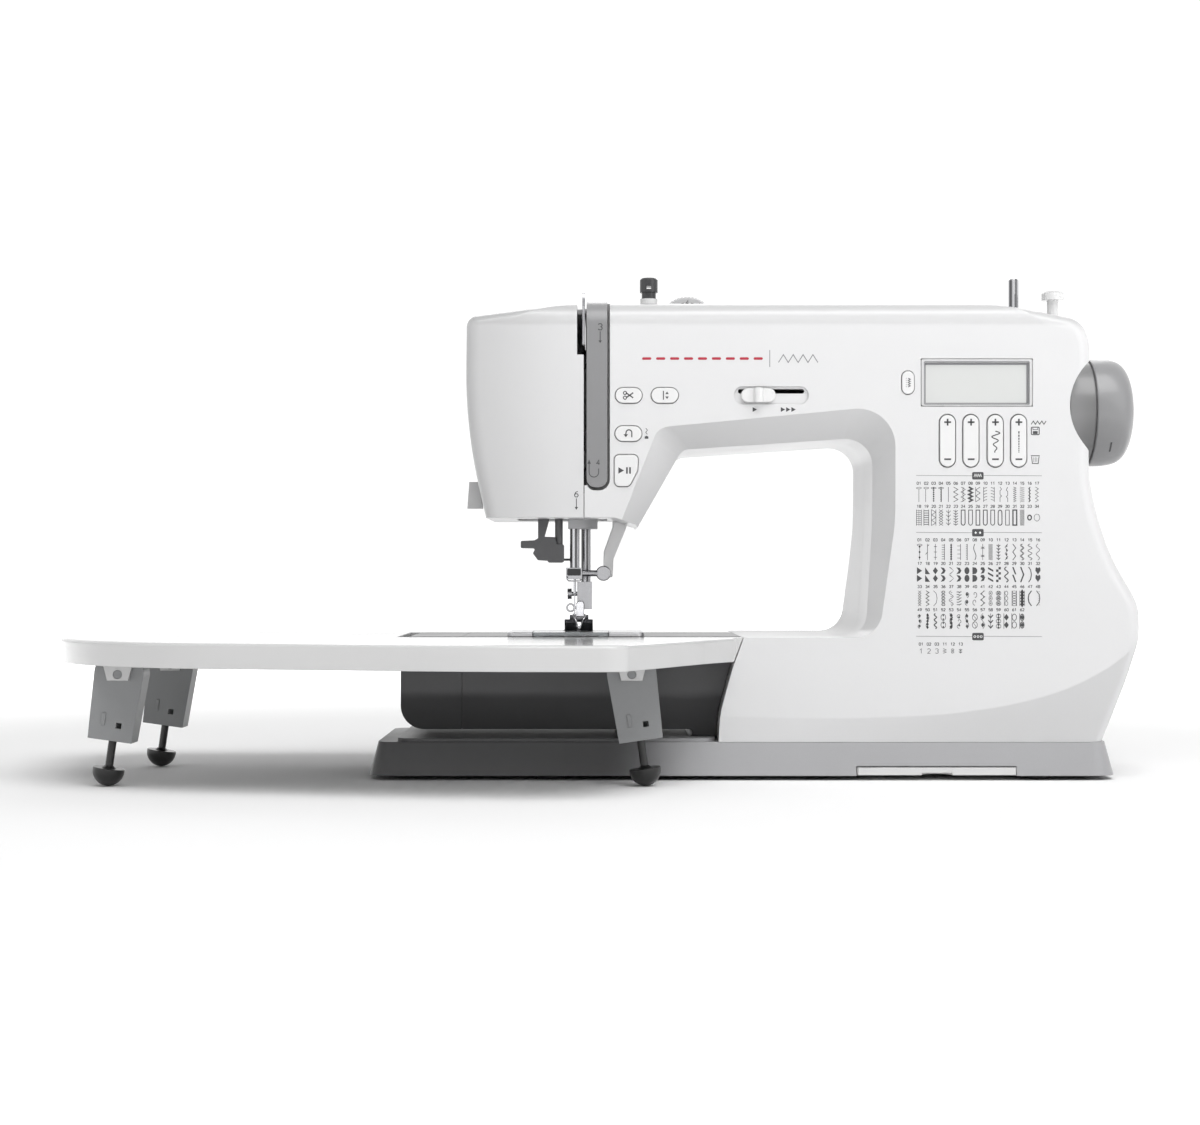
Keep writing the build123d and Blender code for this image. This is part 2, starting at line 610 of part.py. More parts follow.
with BuildPart() as needle:
    add(rod((NEEDLE_X, NEEDLE_Y, 109.0), Z_AXIS, 0.8, 12.8))
    with BuildSketch(Plane.XY.offset(109.0)):
        with Locations((NEEDLE_X, NEEDLE_Y)):
            Circle(0.8)
    with BuildSketch(Plane.XY.offset(107.4)):
        with Locations((NEEDLE_X, NEEDLE_Y)):
            Circle(0.45)
    loft()
    add(rod((NEEDLE_X, NEEDLE_Y, 93.5), Z_AXIS, 0.45, 14.0))
    with BuildSketch(Plane.XY.offset(93.5)):
        with Locations((NEEDLE_X, NEEDLE_Y)):
            Circle(0.45)
    with BuildSketch(Plane.XY.offset(NEEDLE_TIP_Z)):
        with Locations((NEEDLE_X, NEEDLE_Y)):
            Circle(0.08)
    loft()
save(needle, "needle")

with BuildPart() as clamp_screw:
    add(rod((-15.4, NEEDLE_Y, SCREW_Z), X_AXIS, 1.6, 2.4))
    add(rod((-12.4, NEEDLE_Y, SCREW_Z), X_AXIS, 1.9, 9.4))
    add(rod((-13.2, NEEDLE_Y, SCREW_Z), X_AXIS, 1.6, 10.4))
    add(rod((0.6, NEEDLE_Y - 1.5, SCREW_Z), Y_AXIS, 4.6, 3.0))
    add(box_between((-4.5, NEEDLE_Y - 1.1, SCREW_Z - 1.1), (-1.0, NEEDLE_Y + 1.1, SCREW_Z + 1.1)))
    chamfer(clamp_screw.edges().filter_by(GeomType.CIRCLE).group_by(SortBy.LENGTH)[-1], 0.5)
save(clamp_screw, "clamp_screw")

with BuildPart() as presser_bar:
    add(rod((PRESSER_X, PRESSER_Y, 99.0), Z_AXIS, BAR_RADIUS, 110.0))
save(presser_bar, "presser_bar")

with BuildPart() as foot_holder:
    add(box_between((-15.6, 40.5, 99.0), (-6.4, 49.6, 116.0)))
    add(rod((PRESSER_X, PRESSER_Y, 90.0), Z_AXIS, BAR_RADIUS, 40.0), mode=Mode.SUBTRACT)
    add(box_between((-16.2, 38.6, 95.0), (-12.2, 46.0, 98.9)))
    add(box_between((-16.2, 38.6, 95.0), (-12.2, 41.5, 103.0)))
    add(rod((-17.0, 41.5, 93.6), X_AXIS, 2.6, 5.2))
    add(rod((-18.0, 41.5, 93.6), X_AXIS, 1.05, 8.0), mode=Mode.SUBTRACT)
    # Clamp screw that holds the holder on its bar, and the ring of the thread guide
    add(rod((-15.4, 45.0, 108.5), (-1, 0, 0), 1.4, 3.8))
    add(rod((-19.0, 45.0, 108.5), (-1, 0, 0), 3.4, 2.6))
    with BuildPart(mode=Mode.PRIVATE) as ring:
        with BuildSketch(upright(38.6)):
            with Locations((-19.6, 100.0)):
                Circle(2.9)
                Circle(1.6, mode=Mode.SUBTRACT)
        extrude(amount=-1.4)
    add(ring.part)
    add(box_between((-17.5, 38.6, 99.0), (-15.5, 40.0, 101.0)))
save(foot_holder, "foot_holder")

with BuildPart() as presser_foot:
    with BuildSketch(Plane.YZ.offset(FOOT_X - 8.6)):
        with BuildLine():
            Polyline(
                (12.5, 91.6),
                (17.5, 86.3),
                (49.0, 86.3),
                (50.5, 88.4),
                (18.5, 88.6),
                (14.0, 93.4),
                close=True,
            )
        make_face()
    extrude(amount=17.2)
    for x in (FOOT_X - 3.6 - 2.2, FOOT_X + 3.6):
        add(box_between((x, 38.0, 87.5), (x + 2.2, 45.0, 95.6)))
    add(rod((FOOT_X - 5.0, 41.5, 93.6), X_AXIS, 1.0, 10.0))
    with BuildSketch(Plane.XY.offset(84.0)):
        with Locations((NEEDLE_X + 0.6, NEEDLE_Y - 1.0)):
            SlotOverall(8.6, 4.4)
        with Locations((FOOT_X, 18.0)):
            Rectangle(2.4, 22.0)
    extrude(amount=12.0, mode=Mode.SUBTRACT)
save(presser_foot, "presser_foot")

LIFTER_PIVOT = (13.0, 166.0)
with BuildPart() as foot_lifter:
    with BuildSketch(upright(60.0)):
        with BuildLine():
            FilletPolyline(
                (7.0, 170.0),
                (6.2, 150.0),
                (0.7, 134.5),
                (0.6, 126.5),
                (2.8, 118.6),
                (6.6, 118.6),
                (7.0, 130.0),
                (14.8, 149.0),
                (19.0, 166.0),
                (14.0, 171.5),
                radius=1.6,
                close=True,
            )
        make_face()
    extrude(amount=-6.0)
    fillet(foot_lifter.edges().filter_by(Plane.XZ), 0.8)
    add(rod((LIFTER_PIVOT[0], 65.5, LIFTER_PIVOT[1]), Y_AXIS, 2.5, 12.0))
save(foot_lifter, "foot_lifter")

TAKE_UP_PIVOT = (44.0, 252.0)
with BuildPart() as take_up_lever:
    with BuildSketch(Plane.YZ.offset(-12.1)):
        with BuildLine():
            FilletPolyline(
                (48.5, 252.0),
                (44.0, 257.0),
                (5.5, 262.5),
                (3.2, 284.0),
                (1.5, 289.0),
                (-2.5, 289.0),
                (-4.2, 286.0),
                (-2.6, 281.0),
                (-0.6, 257.4),
                (42.0, 247.2),
                radius=1.6,
                close=True,
            )
        make_face()
        with Locations((-0.6, 285.6)):
            Circle(1.3, mode=Mode.SUBTRACT)
    extrude(amount=1.6)
    add(rod((-10.6, TAKE_UP_PIVOT[0], TAKE_UP_PIVOT[1]), X_AXIS, 2.0, 5.6))
save(take_up_lever, "take_up_lever")

with BuildPart() as needle_threader:
    add(rod((-26.7, NEEDLE_Y, 130.0), Z_AXIS, 2.4, 52.0))
    with BuildSketch(upright(27.5)):
        with Locations((-28.6, 133.4)):
            RectangleRounded(10.2, 11.4, 1.5)
        with BuildLine():
            FilletPolyline(
                (-33.0, 128.8),
                (-39.5, 129.2),
                (-42.6, 133.4),
                (-41.0, 136.4),
                (-50.0, 136.6),
                (-50.0, 141.0),
                (-41.6, 141.4),
                (-37.6, 143.6),
                (-29.0, 143.4),
                (-27.0, 136.0),
                radius=0.9,
                close=True,
            )
        make_face()
        with BuildLine():
            Polyline(
                (-39.4, 172.0),
                (-39.4, 140.0),
                (-36.4, 140.0),
                (-32.0, 156.0),
                (-32.0, 172.0),
                close=True,
            )
        make_face()
    extrude(amount=-7.0)
    add(rod((-24.2, 37.2, 129.6), X_AXIS, 0.7, 4.4))
    add(box_between((-27.4, 31.0, 128.6), (-24.0, 38.2, 131.4)))
save(needle_threader, "needle_threader")

# Extension table: a shallow tray, open below, with a slot for the free arm
TABLE_TOP_Z = 83.2
TABLE_BOTTOM_Z = 69.2
TABLE_TOP_THICK = 3.0
TABLE_WALL = 2.6
TABLE_LEFT_X = -324.5
TABLE_FRONT_Y = -161.0
TABLE_BACK_Y = 133.0
TABLE_SLOT_LEFT_X = -123.0
TABLE_SLOT_FRONT_Y = -6.0
TABLE_SLOT_BACK_Y = 94.0
TABLE_RIGHT_X = 90.0


def table_outline(z, inset=0.0):
    """The table in plan, wrapped round three sides of the free arm."""
    with BuildSketch(Plane.XY.offset(z)) as outline:
        with BuildLine():
            FilletPolyline(
                (TABLE_RIGHT_X, TABLE_BACK_Y),
                (TABLE_LEFT_X, TABLE_BACK_Y),
                (TABLE_LEFT_X, -14.0),
                (-296.0, -70.0),
                (-245.0, -116.0),
                (-70.0, -156.5),
                (9.0, TABLE_FRONT_Y),
                (62.0, -50.0),
                (78.5, -24.4),
                radius=[45.0, 125.0, 141.0, 150.0, 295.0, 16.0, 120.0],
            )
            Polyline(
                (78.5, -24.4),
                (TABLE_RIGHT_X, -24.4),
                (TABLE_RIGHT_X, TABLE_SLOT_FRONT_Y),
                (TABLE_SLOT_LEFT_X, TABLE_SLOT_FRONT_Y),
                (TABLE_SLOT_LEFT_X, TABLE_SLOT_BACK_Y),
                (TABLE_RIGHT_X, TABLE_SLOT_BACK_Y),
                (TABLE_RIGHT_X, TABLE_BACK_Y),
            )
        make_face()
        if inset:
            offset(amount=-inset, mode=Mode.REPLACE)
    return outline.sketch


# Folding legs: each hangs from a pin between two ears and leans outwards
LEG_LEAN = 8.0
LEG_PIVOT_Z = 64.0
LEG_LENGTH = 38.0
LEG_TOP_WIDTH = 28.0
LEG_FOOT_WIDTH = 25.0
LEG_DEPTH = 18.0
LEG_WALL = 2.2
LEG_PIN_RADIUS = 2.5
EAR_GAP = 0.4
EAR_THICK = 3.0
EAR_TOP_WIDTH = 22.0
EAR_LOW_WIDTH = 12.0
LEGS = {
    "leg_front_left": (-274.3, -62.0, -1.0),
    "leg_rear_left": (-269.5, 66.0, -1.0),
    "leg_front_right": (16.5, -62.0, 1.0),
    "leg_rear_right": (16.2, 116.5, 1.0),
}
FOOT_RADIUS = 9.0
FOOT_DISC_THICK = 1.2
FOOT_ROD_RADIUS = 2.3


def leg_plane(x, y, side):
    """Plane at a leg's pivot: x across the leg, y down along it, z to the rear."""
    lean = radians(LEG_LEAN)
    return Plane(origin=(x, y, LEG_PIVOT_Z), x_dir=(cos(lean), 0, side * sin(lean)), z_dir=(0, 1, 0))


with BuildPart() as table_top:
    extrude(table_outline(TABLE_BOTTOM_Z), amount=TABLE_TOP_Z - TABLE_BOTTOM_Z)
    top_rim = table_top.faces().sort_by(Axis.Z)[-1].outer_wire().edges()
    outside = top_rim.filter_by(
        lambda e: e.center().X < -250.0 or e.center().Y < -30.0 or e.center().Y > TABLE_BACK_Y - 1.0
    )
    fillet(outside, 2.0)
    pocket_depth = TABLE_TOP_Z - TABLE_TOP_THICK - TABLE_BOTTOM_Z
    extrude(table_outline(TABLE_BOTTOM_Z, TABLE_WALL), amount=pocket_depth, mode=Mode.SUBTRACT)
    # Right ends follow the column
    with BuildSketch(upright(-200.0)):
        with BuildLine():
            Polyline(
                (82.5, 90.0),
                (82.5, 83.0),
                (77.0, 69.0),
                (77.0, 60.0),
                (140.0, 60.0),
                (140.0, 90.0),
                close=True,
            )
        make_face()
    extrude(amount=-400.0, mode=Mode.SUBTRACT)
    for x, y, side in LEGS.values():
        for face_y in (y - LEG_DEPTH / 2.0 - EAR_GAP - EAR_THICK, y + LEG_DEPTH / 2.0 + EAR_GAP):
            with BuildSketch(upright(face_y)):
                with BuildLine():
                    Polyline(
                        (x - EAR_TOP_WIDTH / 2.0, 81.0),
                        (x - EAR_LOW_WIDTH / 2.0, 60.5),
                        (x + EAR_LOW_WIDTH / 2.0, 60.5),
                        (x + EAR_TOP_WIDTH / 2.0, 81.0),
                        close=True,
                    )
                make_face()
            extrude(amount=-EAR_THICK)
        bore = rod((x, y - 14.0, LEG_PIVOT_Z), Y_AXIS, LEG_PIN_RADIUS + RUN_GAP, 28.0)
        add(bore, mode=Mode.SUBTRACT)
    # Cross ribs under the top, clear of the folded legs
    for rib_x, low_y, high_y in ((-240.0, -40.0, 45.0), (-190.0, -120.0, 130.4), (-150.0, -120.0, 130.4)):
        add(box_between((rib_x, low_y, 74.0), (rib_x + 2.0, high_y, 81.0)))
save(table_top, "table_top")


def leg_outline(plane, inset=0.0, short=0.0):
    """The tapering front of a leg, round at its pivot, on a plane at that pivot."""
    top = LEG_TOP_WIDTH / 2.0 - inset
    low = LEG_FOOT_WIDTH / 2.0 - inset
    with BuildSketch(plane) as outline:
        with BuildLine():
            Polyline((-top, 0.0), (-low, LEG_LENGTH - short), (low, LEG_LENGTH - short), (top, 0.0))
            ThreePointArc((top, 0.0), (0.0, -top), (-top, 0.0))
        make_face()
    return outline.sketch


def make_leg(x, y, side):
    """One open-backed leg with its pin, window and side notch."""
    plane = leg_plane(x, y, side)
    down = tuple(plane.y_dir)
    front = plane.offset(-LEG_DEPTH / 2.0)
    with BuildPart() as leg:
        extrude(leg_outline(front), amount=LEG_DEPTH)
        hollow = leg_outline(front.offset(LEG_WALL), LEG_WALL, 4.0)
        extrude(hollow, amount=LEG_DEPTH, mode=Mode.SUBTRACT)
        # Socket the screw foot threads into
        socket_top = tuple(plane.from_local_coords((0, 16.0, 0)))
        add(rod(socket_top, down, FOOT_ROD_RADIUS + 2.2, LEG_LENGTH - 16.0))
        bore_top = tuple(plane.from_local_coords((0, 10.0, 0)))
        add(rod(bore_top, down, FOOT_ROD_RADIUS + RUN_GAP, 60.0), mode=Mode.SUBTRACT)
        # Pin through the ears
        pin_end = tuple(plane.from_local_coords((0, 0, -LEG_DEPTH / 2.0 - 3.2)))
        add(rod(pin_end, Y_AXIS, LEG_PIN_RADIUS, LEG_DEPTH + 6.4))
        # Window low on the front wall, and the pinch bump beside it
        with BuildSketch(front):
            with Locations((4.0, LEG_LENGTH - 9.0)):
                Rectangle(3.2, 3.2)
        extrude(amount=LEG_WALL, mode=Mode.SUBTRACT)
        with BuildSketch(front):
            with Locations((-5.0, LEG_LENGTH - 12.0)):
                Rectangle(2.0, 7.0)
        extrude(amount=-0.8)
    return leg


def make_foot(x, y, side):
    """A screw foot: threaded rod and round-bottomed pad, touching the floor."""
    plane = leg_plane(x, y, side)
    drop = (LEG_PIVOT_Z - FOOT_RADIUS) / cos(radians(LEG_LEAN))
    centre = tuple(plane.from_local_coords((0, drop, 0)))
    with BuildPart() as foot:
        with BuildSketch(Plane(origin=centre, x_dir=plane.x_dir, z_dir=plane.z_dir)):
            with BuildLine():
                Polyline(
                    (0, FOOT_RADIUS),
                    (0, -33.0),
                    (FOOT_ROD_RADIUS, -33.0),
                    (FOOT_ROD_RADIUS, -FOOT_DISC_THICK - 1.6),
                    (4.2, -FOOT_DISC_THICK),
                    (FOOT_RADIUS - 0.3, -FOOT_DISC_THICK),
                    (FOOT_RADIUS, -FOOT_DISC_THICK + 0.3),
                    (FOOT_RADIUS, 0.0),
                )
                RadiusArc((FOOT_RADIUS, 0.0), (0.0, FOOT_RADIUS), -FOOT_RADIUS)
            make_face()
        revolve(axis=Axis(centre, tuple(plane.y_dir)), revolution_arc=360.0)
    return foot


for name, place in LEGS.items():
    save(make_leg(*place), name)
    save(make_foot(*place), name.replace("leg", "foot"))


# Frame: one casting behind the shafts, with lugs that carry them
FRAME_FRONT_Y = 70.0
FRAME_BACK_Y = 78.0
MAIN_LUG_X = ((24.0, 34.0), (244.0, 254.0))
LOWER_LUG_X = ((0.0, 8.0), (206.0, 214.0))
MOTOR_Y = 118.0
MOTOR_Z = 60.0
MAIN_PULLEY_X = 257.0
MAIN_PULLEY_RADIUS = 20.0
MOTOR_PULLEY_RADIUS = 8.0
TIMING_X = 224.0
TIMING_RADIUS = 15.0
PULLEY_WIDTH = 10.0
BELT_THICK = 1.6
BELT_WIDTH = 8.0
DIAL_X = 51.1
DIAL_Z = 270.9
DIAL_RADIUS = 17.2

with BuildPart() as arm_frame:
    for low, high in (
        ((-24.0, 158.0), (16.0, 262.0)),
        ((-24.0, 214.0), (252.0, 262.0)),
        ((186.0, 34.0), (252.0, 262.0)),
        ((-110.0, 34.0), (252.0, 60.0)),
    ):
        add(box_between((low[0], FRAME_FRONT_Y, low[1]), (high[0], FRAME_BACK_Y, high[1])))
    for low_x, high_x in MAIN_LUG_X:
        add(box_between((low_x, 26.0, 211.0), (high_x, FRAME_FRONT_Y + 1.0, 229.0)))
    for low_x, high_x in LOWER_LUG_X:
        add(box_between((low_x, 26.0, 39.0), (high_x, FRAME_FRONT_Y + 1.0, 55.0)))
    # Guides of the needle bar and presser bar, and of the threader's rod
    for low_z, high_z in ((158.5, 170.0), (186.0, 196.0)):
        add(box_between((-23.4, 25.0, low_z), (-4.6, FRAME_FRONT_Y + 1.0, high_z)))
    add(box_between((-21.0, 26.6, 148.5), (-3.0, 50.0, 159.0)))
    add(box_between((-31.5, 24.0, 162.0), (-23.0, FRAME_FRONT_Y + 1.0, 168.0)))
    add(box_between((-31.5, FRAME_FRONT_Y, 162.0), (-24.0, FRAME_BACK_Y, 168.0)))
    # Bracket of the take-up lever
    add(box_between((-9.8, 39.0, 245.0), (-5.4, FRAME_FRONT_Y + 1.0, 259.0)))
    # Bracket of the tension dial
    add(box_between((DIAL_X - 7.0, 22.0, 256.0), (DIAL_X + 7.0, 30.0, 277.5)))
    add(box_between((DIAL_X - 7.0, 22.0, 250.0), (DIAL_X + 7.0, FRAME_FRONT_Y + 1.0, 257.0)))
    # Motor cradle
    add(box_between((190.0, FRAME_BACK_Y - 1.0, 34.0), (196.0, 142.0, 40.0)))
    add(box_between((190.0, FRAME_BACK_Y - 1.0, 34.0), (196.0, 90.0, 86.0)))
    bores = (
        rod((0.0, SHAFT_Y, SHAFT_Z), X_AXIS, SHAFT_RADIUS + RUN_GAP, 270.0),
        rod((-40.0, LOWER_Y, LOWER_Z), X_AXIS, LOWER_SHAFT_RADIUS + RUN_GAP, 300.0),
        rod((NEEDLE_X, NEEDLE_Y, 140.0), Z_AXIS, BAR_RADIUS + RUN_GAP, 70.0),
        rod((PRESSER_X, PRESSER_Y, 140.0), Z_AXIS, BAR_RADIUS + RUN_GAP, 70.0),
        rod((-26.7, NEEDLE_Y, 150.0), Z_AXIS, 2.4 + RUN_GAP, 40.0),
        rod((LIFTER_PIVOT[0], 60.0, LIFTER_PIVOT[1]), Y_AXIS, 2.5 + RUN_GAP, 30.0),
        rod((-12.0, TAKE_UP_PIVOT[0], TAKE_UP_PIVOT[1]), X_AXIS, 2.0 + RUN_GAP, 10.0),
        rod((DIAL_X, 10.0, DIAL_Z), Y_AXIS, 3.0 + RUN_GAP, 30.0),
    )
    for bore in bores:
        add(bore, mode=Mode.SUBTRACT)
save(arm_frame, "arm_frame")

with BuildPart() as main_shaft:
    add(rod((-4.0, SHAFT_Y, SHAFT_Z), X_AXIS, SHAFT_RADIUS, 304.0))
    # Counterweighted crank, with the pin that drives the needle bar
    add(rod((-2.0, SHAFT_Y, SHAFT_Z), X_AXIS, 15.0, 8.0))
    add(box_between((-2.0, SHAFT_Y - 16.0, SHAFT_Z - 19.0), (6.0, SHAFT_Y + 16.0, SHAFT_Z - 6.0)))
    add(rod((-4.0, SHAFT_Y, SHAFT_Z + 9.0), X_AXIS, 2.5, 4.0))
    main_pulley = toothed_disc(
        Plane((MAIN_PULLEY_X, SHAFT_Y, SHAFT_Z), z_dir=X_AXIS), MAIN_PULLEY_RADIUS, PULLEY_WIDTH, 48
    )
    add(main_pulley)
    add(toothed_disc(Plane((TIMING_X, SHAFT_Y, SHAFT_Z), z_dir=X_AXIS), TIMING_RADIUS, PULLEY_WIDTH, 36))
save(main_shaft, "main_shaft")

with BuildPart() as lower_shaft:
    add(rod((-30.0, LOWER_Y, LOWER_Z), X_AXIS, LOWER_SHAFT_RADIUS, 268.0))
    add(toothed_disc(Plane((-26.0, LOWER_Y, LOWER_Z), z_dir=X_AXIS), LOWER_GEAR_RADIUS, 14.0, 28))
    add(toothed_disc(Plane((TIMING_X, LOWER_Y, LOWER_Z), z_dir=X_AXIS), TIMING_RADIUS, PULLEY_WIDTH, 36))
save(lower_shaft, "lower_shaft")

with BuildPart() as motor:
    add(rod((200.0, MOTOR_Y, MOTOR_Z), X_AXIS, 26.0, 46.0))
    fillet(motor.edges().filter_by(GeomType.CIRCLE), 3.0)
    add(rod((196.0, MOTOR_Y, MOTOR_Z), X_AXIS, 9.0, 5.0))
    add(rod((246.0, MOTOR_Y, MOTOR_Z), X_AXIS, 9.0, 4.0))
    add(rod((240.0, MOTOR_Y, MOTOR_Z), X_AXIS, 2.5 + RUN_GAP, 20.0), mode=Mode.SUBTRACT)
    # Cooling slots round the can
    for step in range(12):
        turn = radians(30.0 * step)
        slot = rod(
            (206.0, MOTOR_Y + 26.0 * cos(turn), MOTOR_Z + 26.0 * sin(turn)), X_AXIS, 1.5, 20.0
        )
        add(slot, mode=Mode.SUBTRACT)
save(motor, "motor")

with BuildPart() as motor_pulley:
    add(rod((241.0, MOTOR_Y, MOTOR_Z), X_AXIS, 2.5, 28.0))
    pulley_plane = Plane((MAIN_PULLEY_X, MOTOR_Y, MOTOR_Z), z_dir=X_AXIS)
    add(toothed_disc(pulley_plane, MOTOR_PULLEY_RADIUS, PULLEY_WIDTH, 20))
save(motor_pulley, "motor_pulley")


def belt_loop(x, top, top_radius, bottom, bottom_radius):
    """A closed belt round two pulleys, given as (Y, Z) centres, as a loose solid."""
    gap = 0.3
    with BuildPart(mode=Mode.PRIVATE) as belt:
        for grow, mode in ((gap + BELT_THICK, Mode.ADD), (gap, Mode.SUBTRACT)):
            with BuildSketch(Plane.YZ.offset(x)):
                with Locations(top):
                    Circle(top_radius + grow)
                with Locations(bottom):
                    Circle(bottom_radius + grow)
                make_hull()
            extrude(amount=BELT_WIDTH, mode=mode)
    return belt.part


with BuildPart() as belts:
    shaft_end = (SHAFT_Y, SHAFT_Z)
    motor_end = (MOTOR_Y, MOTOR_Z)
    lower_end = (LOWER_Y, LOWER_Z)
    add(belt_loop(MAIN_PULLEY_X + 1.0, shaft_end, MAIN_PULLEY_RADIUS, motor_end, MOTOR_PULLEY_RADIUS))
    add(belt_loop(TIMING_X + 1.0, shaft_end, TIMING_RADIUS, lower_end, TIMING_RADIUS))
save(belts, "belts")

with BuildPart() as handwheel:
    with BuildSketch(Plane(origin=(0, SHAFT_Y, SHAFT_Z), x_dir=X_AXIS, z_dir=(0, -1, 0))):
        with BuildLine():
            # Plain collar, a groove, then the rim that is gripped
            Polyline(
                (WHEEL_LEFT_X, 0.0),
                (WHEEL_LEFT_X, WHEEL_RADIUS - 3.0),
                (WHEEL_LEFT_X + 0.8, WHEEL_RADIUS - 1.8),
                (WHEEL_RIM_X - 0.8, WHEEL_RADIUS - 1.2),
                (WHEEL_RIM_X - 0.8, WHEEL_RADIUS - 2.4),
                (WHEEL_RIM_X, WHEEL_RADIUS - 2.4),
                (WHEEL_RIM_X, WHEEL_RADIUS - 0.5),
                (WHEEL_RIM_X + 0.5, WHEEL_RADIUS),
            )
            Spline(
                (WHEEL_RIM_X + 0.5, WHEEL_RADIUS),
                (303.0, WHEEL_RADIUS),
                (309.5, WHEEL_RADIUS - 0.6),
                (316.5, WHEEL_RADIUS - 3.0),
                (321.2, 23.5),
                (323.7, 13.5),
                (WHEEL_RIGHT_X, 0.0),
                tangents=((1, 0), (0, -1)),
            )
            Line((WHEEL_RIGHT_X, 0.0), (WHEEL_LEFT_X, 0.0))
        make_face()
    revolve(axis=Axis((0, SHAFT_Y, SHAFT_Z), X_AXIS), revolution_arc=360.0)
    add(rod((WHEEL_LEFT_X - 1.0, SHAFT_Y, SHAFT_Z), X_AXIS, SHAFT_RADIUS, 20.0), mode=Mode.SUBTRACT)
save(handwheel, "handwheel")

# Display and controls
with BuildPart() as lcd_panel:
    extrude(window(FRONT_Y - 0.25, DISPLAY, -0.3), amount=-6.0)
    fillet(lcd_panel.edges().filter_by(Axis.Y), 1.2)
    extrude(window(FRONT_Y - 2.0, SCREEN), amount=-3.2, mode=Mode.SUBTRACT)
    # Circuit board behind the controls
    add(box_between((180.0, FRONT_Y + 11.0, 178.0), (258.0, FRONT_Y + 12.6, 252.0)))
    for x in (190.0, 250.0):
        add(rod((x, FRONT_Y + 5.0, 233.0), Y_AXIS, 2.0, 6.5))
save(lcd_panel, "lcd_panel")


def save_button(outline_maker, name):
    """A key that stands just proud of the cover and runs back through it."""
    with BuildPart() as key:
        extrude(outline_maker(FRONT_Y - BUTTON_PROUD), amount=-BUTTON_DEPTH)
        chamfer(key.faces().sort_by(Axis.Y)[0].edges(), 0.35)
    save(key, name)


for name, (centre, size) in BUTTONS.items():
    save_button(lambda y: pill(y, centre, size), name)
save_button(start_outline, "start_button")
for number, x in enumerate(ROCKER_X, start=1):
    save_button(lambda y: pill(y, (x, ROCKER_Z), ROCKER_SIZE), f"rocker_{number}")

KNOB_CENTRE = (91.6, 225.9)
with BuildPart() as speed_slider:
    extrude(pill(FRONT_Y - 2.2, KNOB_CENTRE, (20.3, 8.4)), amount=-3.2)
    chamfer(speed_slider.faces().sort_by(Axis.Y)[0].edges(), 0.5)
    with BuildSketch(Plane.XY.offset(KNOB_CENTRE[1] - 4.2)):
        with BuildLine():
            Polyline((88.6, FRONT_Y - 2.0), (89.6, FRONT_Y - 5.0))
            ThreePointArc((89.6, FRONT_Y - 5.0), (91.6, FRONT_Y - 5.8), (93.6, FRONT_Y - 5.0))
            Polyline((93.6, FRONT_Y - 5.0), (94.6, FRONT_Y - 2.0), (88.6, FRONT_Y - 2.0))
        make_face()
    extrude(amount=8.4)
    add(box_between((84.0, FRONT_Y + 0.9, SPEED_SLOT_Z - 0.95), (99.0, FRONT_Y + 8.0, SPEED_SLOT_Z + 0.95)))
save(speed_slider, "speed_slider")

# Parts on the top
with BuildPart() as tension_dial:
    add(rod((DIAL_X, 8.2, DIAL_Z), Y_AXIS, DIAL_RADIUS, 7.6))
    chamfer(tension_dial.edges().filter_by(GeomType.CIRCLE), 0.8)
    with BuildSketch(upright(20.0)):
        with Locations((DIAL_X, DIAL_Z)):
            with PolarLocations(DIAL_RADIUS + 0.2, 48):
                Circle(0.55)
    extrude(amount=20.0, mode=Mode.SUBTRACT)
    add(rod((DIAL_X, 9.0, DIAL_Z), Y_AXIS, 3.0, 20.0))
save(tension_dial, "tension_dial")

with BuildPart() as winder_guide:
    add(rod((GUIDE_X, GUIDE_Y, 270.0), Z_AXIS, 3.4, 16.0))
    add(rod((GUIDE_X, GUIDE_Y, 281.6), Z_AXIS, 5.2, 5.4))
    add(rod((GUIDE_X, GUIDE_Y, 286.9), Z_AXIS, 4.3, 4.0))
    add(rod((GUIDE_X, GUIDE_Y, 290.8), Z_AXIS, 5.4, 8.7))
    chamfer(winder_guide.edges().filter_by(GeomType.CIRCLE).group_by(Axis.Z)[-1], 1.0)
    add(box_between((GUIDE_X - 1.4, 0.0, 292.6), (GUIDE_X + 1.4, 24.0, 294.4)), mode=Mode.SUBTRACT)
save(winder_guide, "winder_guide")

with BuildPart() as winder_stop:
    add(rod((STOP_X, GUIDE_Y, 270.0), Z_AXIS, 3.4, 19.0))
    add(rod((STOP_X, GUIDE_Y, 286.0), Z_AXIS, 6.6, 5.2))
    chamfer(winder_stop.edges().filter_by(GeomType.CIRCLE).group_by(Axis.Z)[-1], 1.0)
save(winder_stop, "winder_stop")

with BuildPart() as winder_arm:
    add(box_between((WINDER_X - 9.0, WINDER_Y - 8.0, 266.0), (WINDER_X + 9.0, WINDER_Y + 8.0, 270.5)))
    add(rod((WINDER_X, WINDER_Y, 260.0), Z_AXIS, 2.5 + RUN_GAP, 20.0), mode=Mode.SUBTRACT)
save(winder_arm, "winder_arm")

